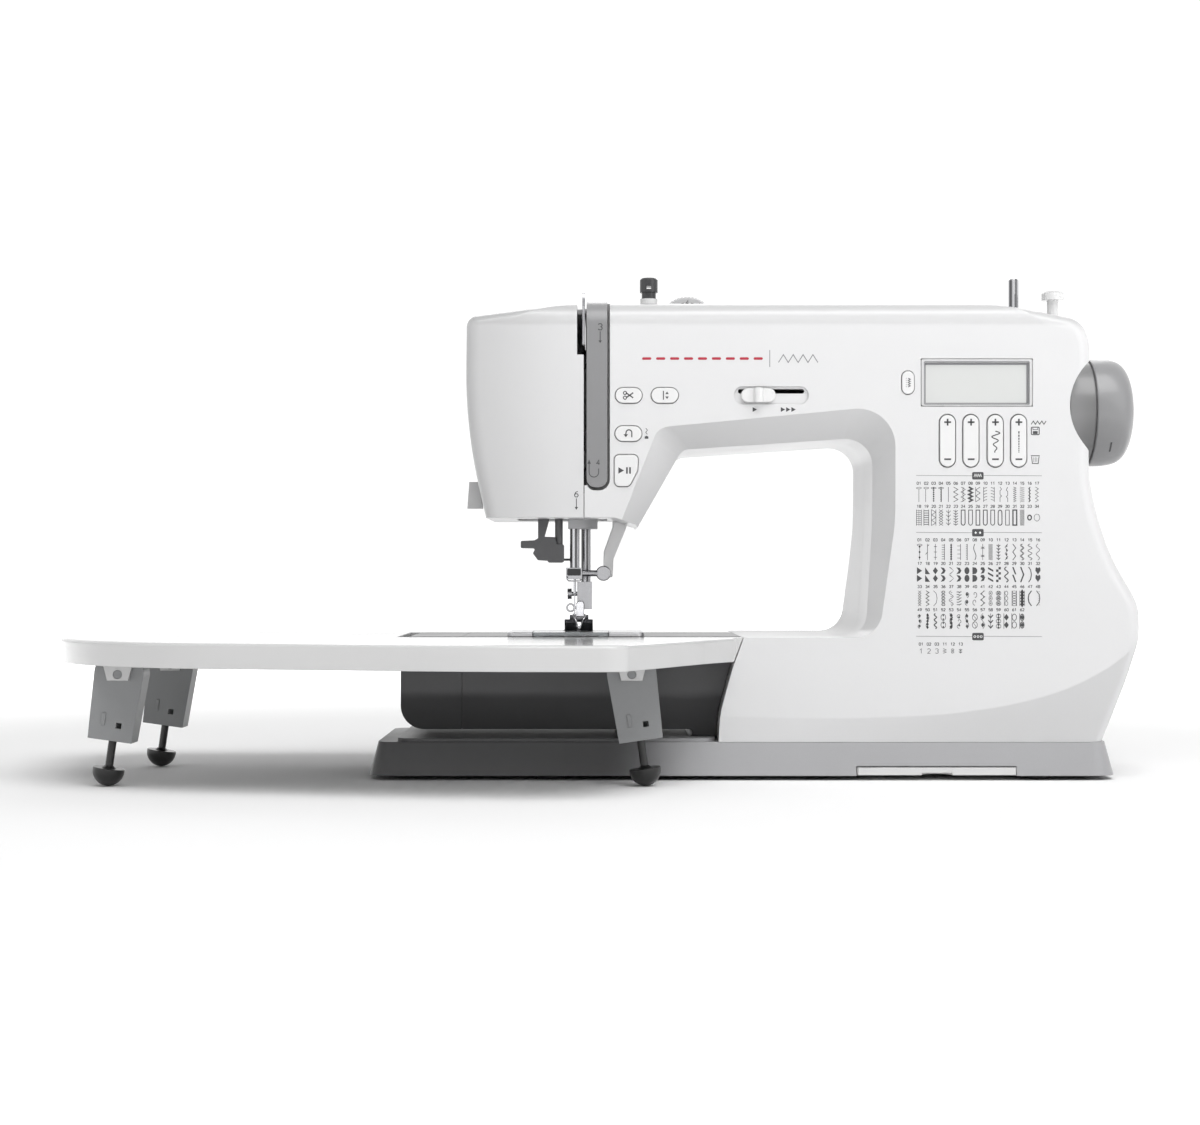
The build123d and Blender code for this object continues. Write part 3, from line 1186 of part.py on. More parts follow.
with BuildPart() as winder_spindle:
    add(rod((WINDER_X, WINDER_Y, 258.0), Z_AXIS, 2.5, 41.0))
    add(rod((WINDER_X, WINDER_Y, 260.0), Z_AXIS, 7.0, 5.6))
    add(rod((WINDER_X, WINDER_Y, 270.9), Z_AXIS, 3.4, 10.1))
    add(rod((WINDER_X, WINDER_Y, 281.0), Z_AXIS, 3.0, 18.0))
    chamfer(winder_spindle.edges().filter_by(GeomType.CIRCLE).group_by(Axis.Z)[-1], 0.8)
    add(box_between((WINDER_X - 0.5, 0.0, 290.0), (WINDER_X + 0.5, 30.0, 300.0)), mode=Mode.SUBTRACT)
save(winder_spindle, "winder_spindle")

SPOOL_Z = 273.0
with BuildPart() as spool_pin:
    add(rod((88.0, 18.0, SPOOL_Z), X_AXIS, 7.5, 4.0))
    add(rod((92.0, 18.0, SPOOL_Z), X_AXIS, 3.0, 106.0))
    chamfer(spool_pin.edges().filter_by(GeomType.CIRCLE).group_by(Axis.X)[-1], 0.8)
save(spool_pin, "spool_pin")

with BuildPart() as carry_handle:
    with BuildSketch(Plane.XY.offset(HANDLE_Z - 4.0)):
        with Locations((125.0, 68.0)):
            RectangleRounded(130.0, 28.0, 8.0)
        with Locations((125.0, 61.0)):
            RectangleRounded(108.0, 20.0, 5.0, mode=Mode.SUBTRACT)
        with Locations((125.0, 54.0)):
            Rectangle(108.0, 10.0, mode=Mode.SUBTRACT)
    extrude(amount=8.0)
    fillet(carry_handle.edges().filter_by(Plane.XY), 1.6)
    for x in (56.8, 189.0):
        add(rod((x, HANDLE_PIVOT_Y, HANDLE_Z), X_AXIS, HANDLE_PIN_RADIUS, 4.2))
save(carry_handle, "carry_handle")

with BuildPart() as power_inlet:
    add(box_between((285.0, 66.3, 40.3), (297.0, 81.7, 53.7)))
    add(box_between((297.0, 64.0, 38.0), (298.6, 84.0, 56.0)))
    add(box_between((289.0, 69.0, 43.0), (300.0, 79.0, 51.0)), mode=Mode.SUBTRACT)
    for y in (72.0, 76.0):
        add(rod((288.5, y, 47.0), X_AXIS, 0.9, 8.0))
save(power_inlet, "power_inlet")

with BuildPart() as power_switch:
    with BuildSketch(upright(89.6)):
        with BuildLine():
            Polyline(
                (290.0, 41.5),
                (298.0, 39.0),
                (297.2, 47.0),
                (299.4, 55.0),
                (290.0, 52.5),
                close=True,
            )
        make_face()
    extrude(amount=-13.8)
save(power_switch, "power_switch")

with BuildPart() as cover_screws:
    for x, z in SCREW_POINTS:
        add(rod((x, BACK_Y - 3.1, z), (0, 1, 0), 2.8, 2.4))
        add(rod((x, FRAME_BACK_Y, z), Y_AXIS, 1.6, BACK_Y - FRAME_BACK_Y - 2.0))
save(cover_screws, "cover_screws")
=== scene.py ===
import math

import bmesh
import bpy
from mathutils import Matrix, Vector


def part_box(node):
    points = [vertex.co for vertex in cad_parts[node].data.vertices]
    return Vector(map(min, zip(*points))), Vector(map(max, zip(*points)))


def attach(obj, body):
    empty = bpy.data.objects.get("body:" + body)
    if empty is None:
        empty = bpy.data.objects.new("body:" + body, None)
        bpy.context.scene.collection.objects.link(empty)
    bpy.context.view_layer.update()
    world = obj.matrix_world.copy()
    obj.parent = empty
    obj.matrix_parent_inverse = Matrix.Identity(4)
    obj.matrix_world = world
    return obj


# A computerised household sewing machine with its extension table.
# Lengths are millimetres in the marks and added details. They are metres in the
# materials' ramps, and for the camera, the floor and the lights.
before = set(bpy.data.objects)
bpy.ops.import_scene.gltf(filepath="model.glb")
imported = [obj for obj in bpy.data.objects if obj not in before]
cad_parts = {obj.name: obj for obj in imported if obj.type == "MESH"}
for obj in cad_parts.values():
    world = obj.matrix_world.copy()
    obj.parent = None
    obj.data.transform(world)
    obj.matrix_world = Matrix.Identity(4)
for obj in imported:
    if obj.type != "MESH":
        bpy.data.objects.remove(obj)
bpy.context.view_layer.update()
MM = 0.001
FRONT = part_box("front_cover")[0].y / MM


# ---------------------------------------------------------------- materials
EDGE_BLUR = 0.1
BEVEL_SAMPLES = 4
PLASTIC_GRAIN_DEPTH = 0.00006
METAL_GRAIN_DEPTH = 0.00003
METAL_EDGE = 0.0003
INK_ROUGH = 0.45


def new_material(name):
    """An empty node material: the material, its tree and its main shader."""
    material = bpy.data.materials.new(name)
    material.use_nodes = True
    return material, material.node_tree, material.node_tree.nodes["Principled BSDF"]


def node(tree, kind, links=(), **settings):
    """A shader node with its settings, and (input, socket or value) links."""
    made = tree.nodes.new(kind)
    for key, value in settings.items():
        setattr(made, key, value)
    for socket, source in links:
        if isinstance(source, (int, float, tuple)):
            made.inputs[socket].default_value = source
        else:
            tree.links.new(source, made.inputs[socket])
    return made


def maths(tree, operation, first, second=0.0, third=0.0):
    """One Math node's output."""
    links = ((0, first), (1, second), (2, third))
    return node(tree, "ShaderNodeMath", links, operation=operation).outputs[0]


def ramp(tree, source, low, high, to_low, to_high, kind="SMOOTHSTEP"):
    """source mapped from low..high to to_low..to_high."""
    links = ((0, source), (1, low), (2, high), (3, to_low), (4, to_high))
    return node(tree, "ShaderNodeMapRange", links, interpolation_type=kind).outputs[0]


def place(tree):
    """Where a surface point is in the machine's frame, in metres."""
    return node(tree, "ShaderNodeTexCoord").outputs["Object"]


def axes(tree, vector=None):
    """The X, Y and Z of a vector, or of where the surface point is."""
    if vector is None:
        vector = place(tree)
    return node(tree, "ShaderNodeSeparateXYZ", ((0, vector),)).outputs


def facing(tree):
    """The X, Y and Z of the way the surface faces."""
    return axes(tree, node(tree, "ShaderNodeNewGeometry").outputs["Normal"])


def noise(tree, scale, detail=3.0, rough=0.55, stretch=None):
    """Noise over the surface, at so many lumps a metre."""
    vector = place(tree)
    if stretch:
        vector = node(tree, "ShaderNodeMapping", ((0, vector), (3, stretch))).outputs[0]
    links = (("Vector", vector), ("Scale", scale), ("Detail", detail), ("Roughness", rough))
    return node(tree, "ShaderNodeTexNoise", links).outputs["Fac"]


def tint(colour, share):
    """A colour made lighter or darker, with its alpha."""
    return tuple(min(1.0, c * share) for c in colour[:3]) + (1.0,)


def mix(tree, factor, first, second):
    """A colour mixed from two colours, or sockets, by a factor."""
    links = ((0, factor), (6, first), (7, second))
    return node(tree, "ShaderNodeMix", links, data_type="RGBA").outputs[2]


def scaled(tree, vector, share):
    """A colour or vector times a number."""
    links = ((0, vector), (3, share))
    return node(tree, "ShaderNodeVectorMath", links, operation="SCALE").outputs[0]


def lifted(tree, normal, amount):
    """A normal turned up by an amount."""
    lift = node(tree, "ShaderNodeCombineXYZ", ((2, amount),)).outputs[0]
    total = node(tree, "ShaderNodeVectorMath", ((0, normal), (1, lift)), operation="ADD").outputs[0]
    return node(tree, "ShaderNodeVectorMath", ((0, total),), operation="NORMALIZE").outputs[0]


def edge_step(tree, along, edge):
    """0 below an edge in millimetres and 1 above it."""
    return ramp(tree, along, (edge - EDGE_BLUR) * MM, (edge + EDGE_BLUR) * MM, 0.0, 1.0)


def softened(tree, radius):
    """The normal with sharp edges rounded off."""
    return node(tree, "ShaderNodeBevel", (("Radius", radius),), samples=BEVEL_SAMPLES).outputs[0]


def bump(tree, height, strength, distance, normal):
    """A normal roughened by a height."""
    links = (("Height", height), ("Strength", strength), ("Distance", distance), ("Normal", normal))
    return node(tree, "ShaderNodeBump", links).outputs["Normal"]


def coloured(material):
    """The material's tree, its base colour input, and what feeds that now."""
    target = material.node_tree.nodes["Principled BSDF"].inputs["Base Color"]
    return material.node_tree, target, target.links[0].from_socket


def moulded(
    name, colour, rough, spread=0.03, grain=0.12, coat=0.0, scale=1400.0, soft=0.5, lean=None
):
    """Moulded plastic: clouded colour, fine grain, uneven gloss and softened edges."""
    material, tree, shader = new_material(name)
    cloud = noise(tree, 14.0, 4.0)
    fine = noise(tree, scale, 2.0)
    shade = mix(tree, cloud, tint(colour, 1.0 - spread), tint(colour, 1.0 + spread))
    speck = ramp(tree, fine, 0.35, 0.75, 0.0, 1.0)
    speck = maths(tree, "MULTIPLY", speck, 0.25)
    shade = mix(tree, speck, shade, tint(colour, 1.0 - 2.5 * spread))
    tree.links.new(shade, shader.inputs["Base Color"])
    gloss = ramp(tree, cloud, 0.3, 0.7, rough - 0.05, rough + 0.05)
    tree.links.new(gloss, shader.inputs["Roughness"])
    normal = softened(tree, soft * MM)
    if lean:
        normal = lean(tree, normal)
    grained = bump(tree, fine, grain, PLASTIC_GRAIN_DEPTH, normal)
    tree.links.new(grained, shader.inputs["Normal"])
    shader.inputs["Coat Weight"].default_value = coat
    shader.inputs["Coat Roughness"].default_value = 0.12
    return material


def metal(name, colour, rough, brush=None, spread=0.05, pits=0.1):
    """Metal with fine brushing along one axis, or polished with faint smears."""
    material, tree, shader = new_material(name)
    grain = noise(tree, 900.0 if brush else 60.0, 4.0, 0.6, brush)
    smear = noise(tree, 40.0, 3.0)
    shade = mix(tree, grain, tint(colour, 1.0 - spread), tint(colour, 1.0 + spread))
    tree.links.new(shade, shader.inputs["Base Color"])
    gloss = ramp(tree, smear, 0.3, 0.7, rough * 0.75, rough * 1.35)
    tree.links.new(gloss, shader.inputs["Roughness"])
    normal = softened(tree, METAL_EDGE)
    grained = bump(tree, grain, pits, METAL_GRAIN_DEPTH, normal)
    tree.links.new(grained, shader.inputs["Normal"])
    shader.inputs["Metallic"].default_value = 1.0
    return material


# Height of the soft crease across the column's foot, over X
CREASE = (
    (60.0, 37.5), (186.0, 37.5), (221.0, 41.0), (244.0, 45.0),
    (267.5, 51.5), (285.0, 59.0), (302.5, 69.5), (320.0, 86.0),
)
CREASE_START_X, CREASE_END_X = 60.0, 320.0
TOP_CREASE_Z = 267.5
# The span over X of the painted shade on the handwheel's collar
COLLAR_START_X = 0.281
COLLAR_END_X = 0.2974


def body_creases(tree, normal):
    """Turns the front's normal a little below the foot crease and above the top one."""
    split = axes(tree)
    front = ramp(tree, facing(tree)[1], -0.97, -0.8, 1.0, 0.0)
    along = ramp(tree, split[0], CREASE_START_X * MM, CREASE_END_X * MM, 0.0, 1.0, "LINEAR")
    curve = node(tree, "ShaderNodeFloatCurve", (("Value", along),))
    points = curve.mapping.curves[0].points
    for index, (x, z) in enumerate(CREASE):
        spot = ((x - CREASE_START_X) / (CREASE_END_X - CREASE_START_X), z / 100.0)
        if index in (0, len(CREASE) - 1):
            points[0 if index == 0 else -1].location = spot
        else:
            points.new(*spot)
    curve.mapping.update()
    height = maths(tree, "MULTIPLY", curve.outputs[0], 0.1)
    below = ramp(tree, maths(tree, "SUBTRACT", height, split[2]), -0.0008, 0.0012, 0.0, 1.0)
    below = maths(tree, "MULTIPLY", below, ramp(tree, split[0], 0.07, 0.25, 0.3, 1.0))
    low, high = (TOP_CREASE_Z - 1.0) * MM, (TOP_CREASE_Z + 1.5) * MM
    above = ramp(tree, split[2], low, high, 0.0, 1.0)
    above = maths(tree, "MULTIPLY", above, -0.35)
    turn = maths(tree, "SUBTRACT", above, maths(tree, "MULTIPLY", below, 0.42))
    return lifted(tree, normal, maths(tree, "MULTIPLY", turn, front))


def arm_break(tree, normal):
    """The free arm's front turns under below its middle."""
    return lifted(tree, normal, ramp(tree, axes(tree)[2], 0.044, 0.053, -0.75, 0.0))


def graded(material, axis, start, end, low, high):
    """Painted shade: the material's colour times low..high along an axis."""
    tree, target, old = coloured(material)
    share = ramp(tree, axes(tree)[axis], start, end, low, high)
    tree.links.new(scaled(tree, old, share), target)
    return material


def topped(material, share):
    """The material a little greyer where it faces up: painted shade."""
    tree, target, old = coloured(material)
    keep = ramp(tree, facing(tree)[2], 0.05, 0.9, 1.0, share)
    tree.links.new(scaled(tree, old, keep), target)
    return material


def streaked(material, low, high, phase=2.9):
    """Polished metal with painted reflections: dark and bright bands round its section, set by the
    way the surface faces.
    """
    tree, target, old = coloured(material)
    band = maths(tree, "SINE", maths(tree, "MULTIPLY_ADD", facing(tree)[0], 6.5, phase))
    share = ramp(tree, band, -0.8, 0.9, low, high)
    tree.links.new(scaled(tree, old, share), target)
    return material


def collared(name, rim, collar, edge):
    """The handwheel: a grey rim beside a pale collar, split across X; the collar carries painted
    shade, deepening towards the rim.
    """
    material = moulded(name, rim, 0.33, 0.03, 0.14, 0.2, soft=0.8)
    tree, target, old = coloured(material)
    along = axes(tree)[0]
    pale = mix(tree, noise(tree, 20.0), tint(collar, 0.96), tint(collar, 1.0))
    pale = scaled(tree, pale, ramp(tree, along, COLLAR_START_X, COLLAR_END_X, 0.45, 0.28))
    tree.links.new(mix(tree, edge_step(tree, along, edge), pale, old), target)
    return material


def stepped(material, axis, edge, below):
    """The material in another colour below an edge on an axis."""
    tree, target, old = coloured(material)
    other = mix(tree, noise(tree, 30.0), tint(below, 0.94), tint(below, 1.06))
    tree.links.new(mix(tree, edge_step(tree, axes(tree)[axis], edge), other, old), target)
    return material


def clear(name, colour):
    """Clear plastic, slightly clouded."""
    material, tree, shader = new_material(name)
    cloud = noise(tree, 30.0)
    shade = mix(tree, cloud, tint(colour, 0.95), tint(colour, 1.0))
    tree.links.new(shade, shader.inputs["Base Color"])
    tree.links.new(ramp(tree, cloud, 0.3, 0.7, 0.05, 0.12), shader.inputs["Roughness"])
    shader.inputs["Transmission Weight"].default_value = 0.85
    shader.inputs["IOR"].default_value = 1.49
    return material


X_AXIS, Z_AXIS = 0, 2
WHITE = (0.70, 0.70, 0.705)
LEG_TONE = (0.27, 0.275, 0.28)
TABLE_EAR_TONE = (0.21, 0.215, 0.22)
TABLE_EAR_Z = 60.3
WHEEL_RIM_X = 297.4
POST_COLLAR_Z = 286.9
TOP_SHADE_SHARE = 0.72

body_white = moulded("body_white", WHITE, 0.34, 0.012, 0.10, 0.25, lean=body_creases)
# The face cover gets painted shade, darker towards its left end.
face_white = graded(
    moulded("face_white", WHITE, 0.34, 0.012, 0.10, 0.25, lean=body_creases),
    X_AXIS, -0.085, -0.012, 0.72, 0.93,
)
key_white = moulded("key_white", (0.75, 0.75, 0.75), 0.3, 0.01, 0.06, 0.3, soft=0.3)
table_white = stepped(
    moulded("table_white", (0.6, 0.6, 0.6), 0.16, 0.01, 0.05, 0.6, soft=0.8),
    Z_AXIS, TABLE_EAR_Z, TABLE_EAR_TONE,
)
arm_grey = moulded(
    "arm_grey", (0.085, 0.085, 0.088), 0.42, 0.06, 0.25, 0.1, scale=1100.0, lean=arm_break
)
# The base gets painted shade: darkest left of X 0, under the free arm, and clear from X 55 mm.
base_grey = graded(
    moulded("base_grey", (0.36, 0.36, 0.37), 0.42, 0.03, 0.2, 0.1, scale=1100.0, soft=0.8),
    X_AXIS, 0.0, 0.055, 0.24, 1.0,
)
strip_grey = moulded("strip_grey", (0.235, 0.235, 0.24), 0.36, 0.025, 0.12, 0.15)
wheel_grey = collared("wheel_grey", (0.235, 0.235, 0.24), (0.6, 0.6, 0.605), WHEEL_RIM_X)
leg_grey = moulded("leg_grey", LEG_TONE, 0.4, 0.03, 0.15, 0.1)
charcoal = moulded("charcoal", (0.035, 0.035, 0.037), 0.35, 0.1, 0.15, 0.2)
foot_black = moulded("foot_black", (0.006, 0.006, 0.006), 0.3, 0.2, 0.2, 0.2)
rubber = moulded("rubber_black", (0.01, 0.01, 0.01), 0.7, 0.2, 0.5)
hook_dark = moulded("hook_dark", (0.02, 0.02, 0.022), 0.3, 0.1, 0.1)
belt_black = moulded("belt_black", (0.012, 0.012, 0.012), 0.75, 0.2, 0.6, scale=700.0)
motor_black = moulded("motor_black", (0.02, 0.02, 0.024), 0.4, 0.1, 0.3)
card_white = moulded("chart_card", (0.66, 0.66, 0.66), 0.45, 0.02, 0.12)
display_frame = moulded("display_frame", (0.6, 0.6, 0.605), 0.25, 0.02, 0.05, 0.4)
threader_grey = moulded("threader_grey", (0.12, 0.12, 0.125), 0.4, 0.05, 0.15)
# The foot lifter's white is painted brighter than the body's, as painted light against the shade
# under the head.
lifter_brightened_white = moulded("lifter_brightened_white", (0.9, 0.9, 0.9), 0.35, 0.02, 0.1, 0.2)
# The steels and the dark chrome carry painted reflection bands.
steel = streaked(metal("bright_steel", (0.55, 0.55, 0.57), 0.16), 0.35, 1.4, 1.2)
bar_steel = streaked(metal("bar_steel", (0.30, 0.30, 0.31), 0.2, (1.0, 1.0, 0.06)), 0.25, 1.9)
screw_steel = streaked(metal("screw_steel", (0.3, 0.3, 0.31), 0.2), 0.3, 1.8)
dark_chrome = streaked(metal("dark_chrome", (0.07, 0.07, 0.075), 0.14), 0.4, 2.0)
plate_steel = metal("plate_steel", (0.5, 0.5, 0.51), 0.3, (0.05, 1.0, 1.0), 0.08, 0.2)
cast_metal = metal("cast_frame", (0.42, 0.42, 0.43), 0.55, None, 0.08, 0.6)
clear_plastic = clear("clear_plastic", (0.86, 0.89, 0.9))
guide_post = stepped(
    moulded("winder_guide", (0.03, 0.03, 0.032), 0.3), Z_AXIS, POST_COLLAR_Z, (0.7, 0.7, 0.7)
)

# Painted shade: the white plastics are greyer where they face up.
for look in (body_white, face_white, key_white):
    topped(look, TOP_SHADE_SHARE)

LOOKS = {
    body_white: ("front_cover", "rear_cover", "tension_dial", "carry_handle"),
    face_white: ("face_cover",),
    key_white: (
        "cutter_button", "needle_button", "reverse_button", "start_button", "mode_button",
        "rocker_1", "rocker_2", "rocker_3", "rocker_4", "speed_slider", "winder_stop",
    ),
    table_white: ("table_top",),
    arm_grey: ("free_arm_cover",),
    base_grey: ("base",),
    strip_grey: ("channel_cover", "spool_pin"),
    wheel_grey: ("handwheel",),
    leg_grey: ("leg_front_left", "leg_front_right", "leg_rear_left", "leg_rear_right"),
    charcoal: ("power_inlet", "power_switch", "winder_arm"),
    foot_black: ("foot_front_left", "foot_front_right", "foot_rear_left", "foot_rear_right"),
    rubber: ("base_feet",),
    hook_dark: ("hook", "bobbin_case"),
    belt_black: ("belts",),
    motor_black: ("motor",),
    card_white: ("chart_drawer",),
    display_frame: ("lcd_panel",),
    threader_grey: ("needle_threader",),
    lifter_brightened_white: ("foot_lifter",),
    screw_steel: ("clamp_screw", "take_up_lever", "winder_spindle"),
    steel: ("cover_screws", "lower_shaft", "main_shaft", "motor_pulley", "needle"),
    bar_steel: ("needle_bar", "presser_bar", "foot_holder"),
    dark_chrome: ("presser_foot",),
    plate_steel: ("needle_plate", "feed_dogs"),
    cast_metal: ("arm_frame",),
    clear_plastic: ("bobbin", "bobbin_cover"),
    guide_post: ("winder_guide",),
}
for look, names in LOOKS.items():
    for name in names:
        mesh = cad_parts[name].data
        mesh.materials.clear()
        mesh.materials.append(look)


def ink(name, colour):
    """Printed ink: slightly uneven colour and gloss."""
    return moulded(name, colour, INK_ROUGH, 0.06, 0.05, soft=0.02)


dark_ink = ink("dark_ink", (0.055, 0.055, 0.058))
# This grey serves both as print and as the painted shadow in the display window.
grey_ink_and_shadow = ink("grey_ink_and_shadow", (0.25, 0.25, 0.26))
red_ink = ink("red_ink", (0.42, 0.02, 0.045))
light_ink = ink("light_ink", (0.8, 0.8, 0.8))


# ------------------------------------------------------------ printed marks
INK_THICK = 0.06
INK_SUNK = 0.03
SHORTEST_RUN = 1e-6
SHARPEST_MITRE = 0.45


def add_piece(name, mesh, material, body, smooth=False):
    """Turns a finished bmesh into a piece that rides on a body."""
    bmesh.ops.recalc_face_normals(mesh, faces=mesh.faces)
    data = bpy.data.meshes.new(name)
    mesh.to_mesh(data)
    mesh.free()
    for face in data.polygons:
        face.use_smooth = smooth and len(face.vertices) == 4
    piece = bpy.data.objects.new(name, data)
    bpy.context.scene.collection.objects.link(piece)
    data.materials.append(material)
    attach(piece, body)


class Print:
    """Marks gathered on one plane, as (x, z) outlines, then built as thin closed solids."""

    def __init__(self, y):
        self.y = y
        self.mesh = bmesh.new()

    def corner(self, x, z, y):
        return self.mesh.verts.new(Vector((x, y, z)) * MM)

    def shell(self, left, right, closed):
        """A closed ribbon between two rows of points."""
        count = len(left)
        near_y, far_y = self.y - INK_THICK, self.y + INK_SUNK
        rings = []
        for a, b in zip(left, right):
            corners = ((a, near_y), (b, near_y), (b, far_y), (a, far_y))
            rings.append([self.corner(x, z, y) for (x, z), y in corners])
        for i in range(count if closed else count - 1):
            near, far = rings[i], rings[(i + 1) % count]
            for k in range(4):
                m = (k + 1) % 4
                self.mesh.faces.new((near[k], near[m], far[m], far[k]))
        if not closed:
            self.mesh.faces.new(rings[0])
            self.mesh.faces.new(rings[-1][::-1])

    def area(self, points):
        """A filled outline."""
        front = [self.corner(x, z, self.y - INK_THICK) for x, z in points]
        back = [self.corner(x, z, self.y + INK_SUNK) for x, z in points]
        self.mesh.faces.new(front)
        self.mesh.faces.new(back[::-1])
        for i in range(len(points)):
            j = (i + 1) % len(points)
            self.mesh.faces.new((front[j], front[i], back[i], back[j]))

    def line(self, points, width, closed=False):
        """A drawn line of even width, with mitred corners."""
        left, right = [], []
        count = len(points)
        for i, (x, z) in enumerate(points):
            before = points[i - 1] if i or closed else points[0]
            after = points[(i + 1) % count] if i < count - 1 or closed else points[-1]
            sides = []
            for (ax, az), (bx, bz) in ((before, (x, z)), ((x, z), after)):
                run = math.hypot(bx - ax, bz - az)
                if run > SHORTEST_RUN:
                    sides.append((-(bz - az) / run, (bx - ax) / run))
            nx = sum(s[0] for s in sides)
            nz = sum(s[1] for s in sides)
            size = math.hypot(nx, nz) or 1.0
            nx, nz = nx / size, nz / size
            mitre = max(SHARPEST_MITRE, nx * sides[0][0] + nz * sides[0][1])
            reach = width / 2.0 / mitre
            left.append((x + nx * reach, z + nz * reach))
            right.append((x - nx * reach, z - nz * reach))
        self.shell(left, right, closed)

    def build(self, name, material, body):
        """The finished piece, riding on a body."""
        add_piece(name, self.mesh, material, body)


def arc(cx, cz, radius, start, end, steps=12):
    """Points on an arc, in degrees."""
    turns = [math.radians(start + (end - start) * i / steps) for i in range(steps + 1)]
    return [(cx + radius * math.cos(t), cz + radius * math.sin(t)) for t in turns]


def ring(cx, cz, radius, steps=16):
    """Points round a circle."""
    return arc(cx, cz, radius, 0.0, 360.0 * (1.0 - 1.0 / steps), steps - 1)


def rounded(cx, cz, width, height, radius):
    """A rounded rectangle's outline."""
    dx, dz = width / 2 - radius, height / 2 - radius
    points = []
    for sx, sz, turn in ((1, 1, 0), (-1, 1, 90), (-1, -1, 180), (1, -1, 270)):
        points += arc(cx + sx * dx, cz + sz * dz, radius, turn, turn + 90, 4)
    return points


# Digits as pen strokes in a box one unit wide and 1.6 high
DIGITS = {
    "0": ((0, 0.3), (0, 1.3), (0.25, 1.6), (0.75, 1.6), (1, 1.3), (1, 0.3), (0.75, 0),
          (0.25, 0), (0, 0.3)),
    "1": ((0.15, 1.2), (0.6, 1.6), (0.6, 0)),
    "2": ((0, 1.3), (0.25, 1.6), (0.75, 1.6), (1, 1.3), (1, 1.0), (0, 0), (1, 0)),
    "3": ((0, 1.4), (0.25, 1.6), (0.75, 1.6), (1, 1.3), (1, 1.1), (0.7, 0.85), (1, 0.6),
          (1, 0.3), (0.75, 0), (0.25, 0), (0, 0.25)),
    "4": ((0.75, 0), (0.75, 1.6), (0, 0.5), (1, 0.5)),
    "5": ((1, 1.6), (0.1, 1.6), (0, 0.9), (0.6, 1.0), (1, 0.75), (1, 0.3), (0.7, 0),
          (0.25, 0), (0, 0.25)),
    "6": ((0.9, 1.6), (0.3, 1.3), (0, 0.7), (0, 0.3), (0.25, 0), (0.75, 0), (1, 0.3),
          (1, 0.6), (0.75, 0.9), (0.25, 0.9), (0, 0.6)),
    "7": ((0, 1.6), (1, 1.6), (0.35, 0)),
    "8": ((0.3, 0.85), (0, 1.15), (0, 1.35), (0.25, 1.6), (0.75, 1.6), (1, 1.35), (1, 1.15),
          (0.7, 0.85), (0.3, 0.85), (0, 0.55), (0, 0.25), (0.25, 0), (0.75, 0), (1, 0.25),
          (1, 0.55), (0.7, 0.85)),
    "9": ((0.1, 0), (0.7, 0.3), (1, 0.9), (1, 1.3), (0.75, 1.6), (0.25, 1.6), (0, 1.3),
          (0, 1.0), (0.25, 0.7), (0.75, 0.7), (1, 1.0)),
}
DIGIT_TALL = 1.6
DIGIT_PITCH = 1.45


def number(sheet, text, cx, cz, height, width):
    """A number centred on a point."""
    unit = height / DIGIT_TALL
    pitch = unit * DIGIT_PITCH
    start = cx - (pitch * (len(text) - 1) + unit) / 2.0
    for count, digit in enumerate(text):
        x = start + count * pitch
        stroke = [(x + u * unit, cz - height / 2.0 + v * unit) for u, v in DIGITS[digit]]
        sheet.line(stroke, width)


def arrow_down(sheet, x, top, bottom):
    sheet.line([(x, top), (x, bottom + 1.2)], 0.5)
    sheet.area([(x - 1.0, bottom + 1.6), (x, bottom), (x + 1.0, bottom + 1.6)])


# ------------------------------------------------------------- stitch chart
# A mark is (kind, points, thickness): x counts half widths of a cell, z shares of its height.
def swings(n, swing):
    """Points that change side n times up the cell."""
    return [(swing * (1 if i % 2 else -1), i / n) for i in range(n + 1)]


def zigzag(n, swing, thick=0.26):
    return [("line", swings(n, swing), thick)]


def wave(n, swing, thick=0.26, shift=0.0):
    steps = n * 8
    turns = [math.tau * n * i / steps for i in range(steps + 1)]
    line = [(shift + swing * math.sin(t), i / steps) for i, t in enumerate(turns)]
    return [("line", line, thick)]


def upright_line(x=0.0, thick=0.24, low=0.0, high=1.0):
    return [("line", [(x, low), (x, high)], thick)]


def rungs(n, low, high, thick=0.22, slant=0.0):
    marks = []
    for i in range(n):
        z = (i + 0.5) / n
        marks.append(("line", [(low, z - slant / 2), (high, z + slant / 2)], thick))
    return marks


def dots(n, size=0.25, x=0.0):
    marks = []
    for i in range(n):
        z = (i + 0.5) / n
        spot = [(x - size, z), (x, z - size * 0.28), (x + size, z), (x, z + size * 0.28)]
        marks.append(("fill", spot, 0))
    return marks


def oval(wide, tall, cz, count):
    """Points round an oval in the middle of a cell."""
    turns = [math.tau * k / count for k in range(count)]
    return [(wide * math.cos(t), cz + tall * math.sin(t)) for t in turns]


def loops(n, size=0.5, thick=0.22):
    return [("ring", oval(size, 0.42 / n, (i + 0.5) / n, 12), thick) for i in range(n)]


def slot_frame(thick, round_top, round_foot):
    """A buttonhole: a tall frame with square or rounded ends."""
    top = [(0.62, 0.97), (-0.62, 0.97)]
    turns = (0, 0.8, 1.57, 2.34, 3.14)
    if round_top:
        top = [(0.62 * math.cos(t), 0.84 + 0.13 * math.sin(t)) for t in turns]
    foot = [(-0.62, 0.03), (0.62, 0.03)]
    if round_foot:
        foot = [(0.66 * math.cos(t), 0.15 - 0.13 * math.sin(t)) for t in turns[::-1]]
    return [("ring", top + foot, thick)]


def shapes(n, outline):
    """An outline repeated up the cell: (x, share of the repeat's height)."""
    return [("fill", [(x, (i + z) / n) for x, z in outline], 0) for i in range(n)]


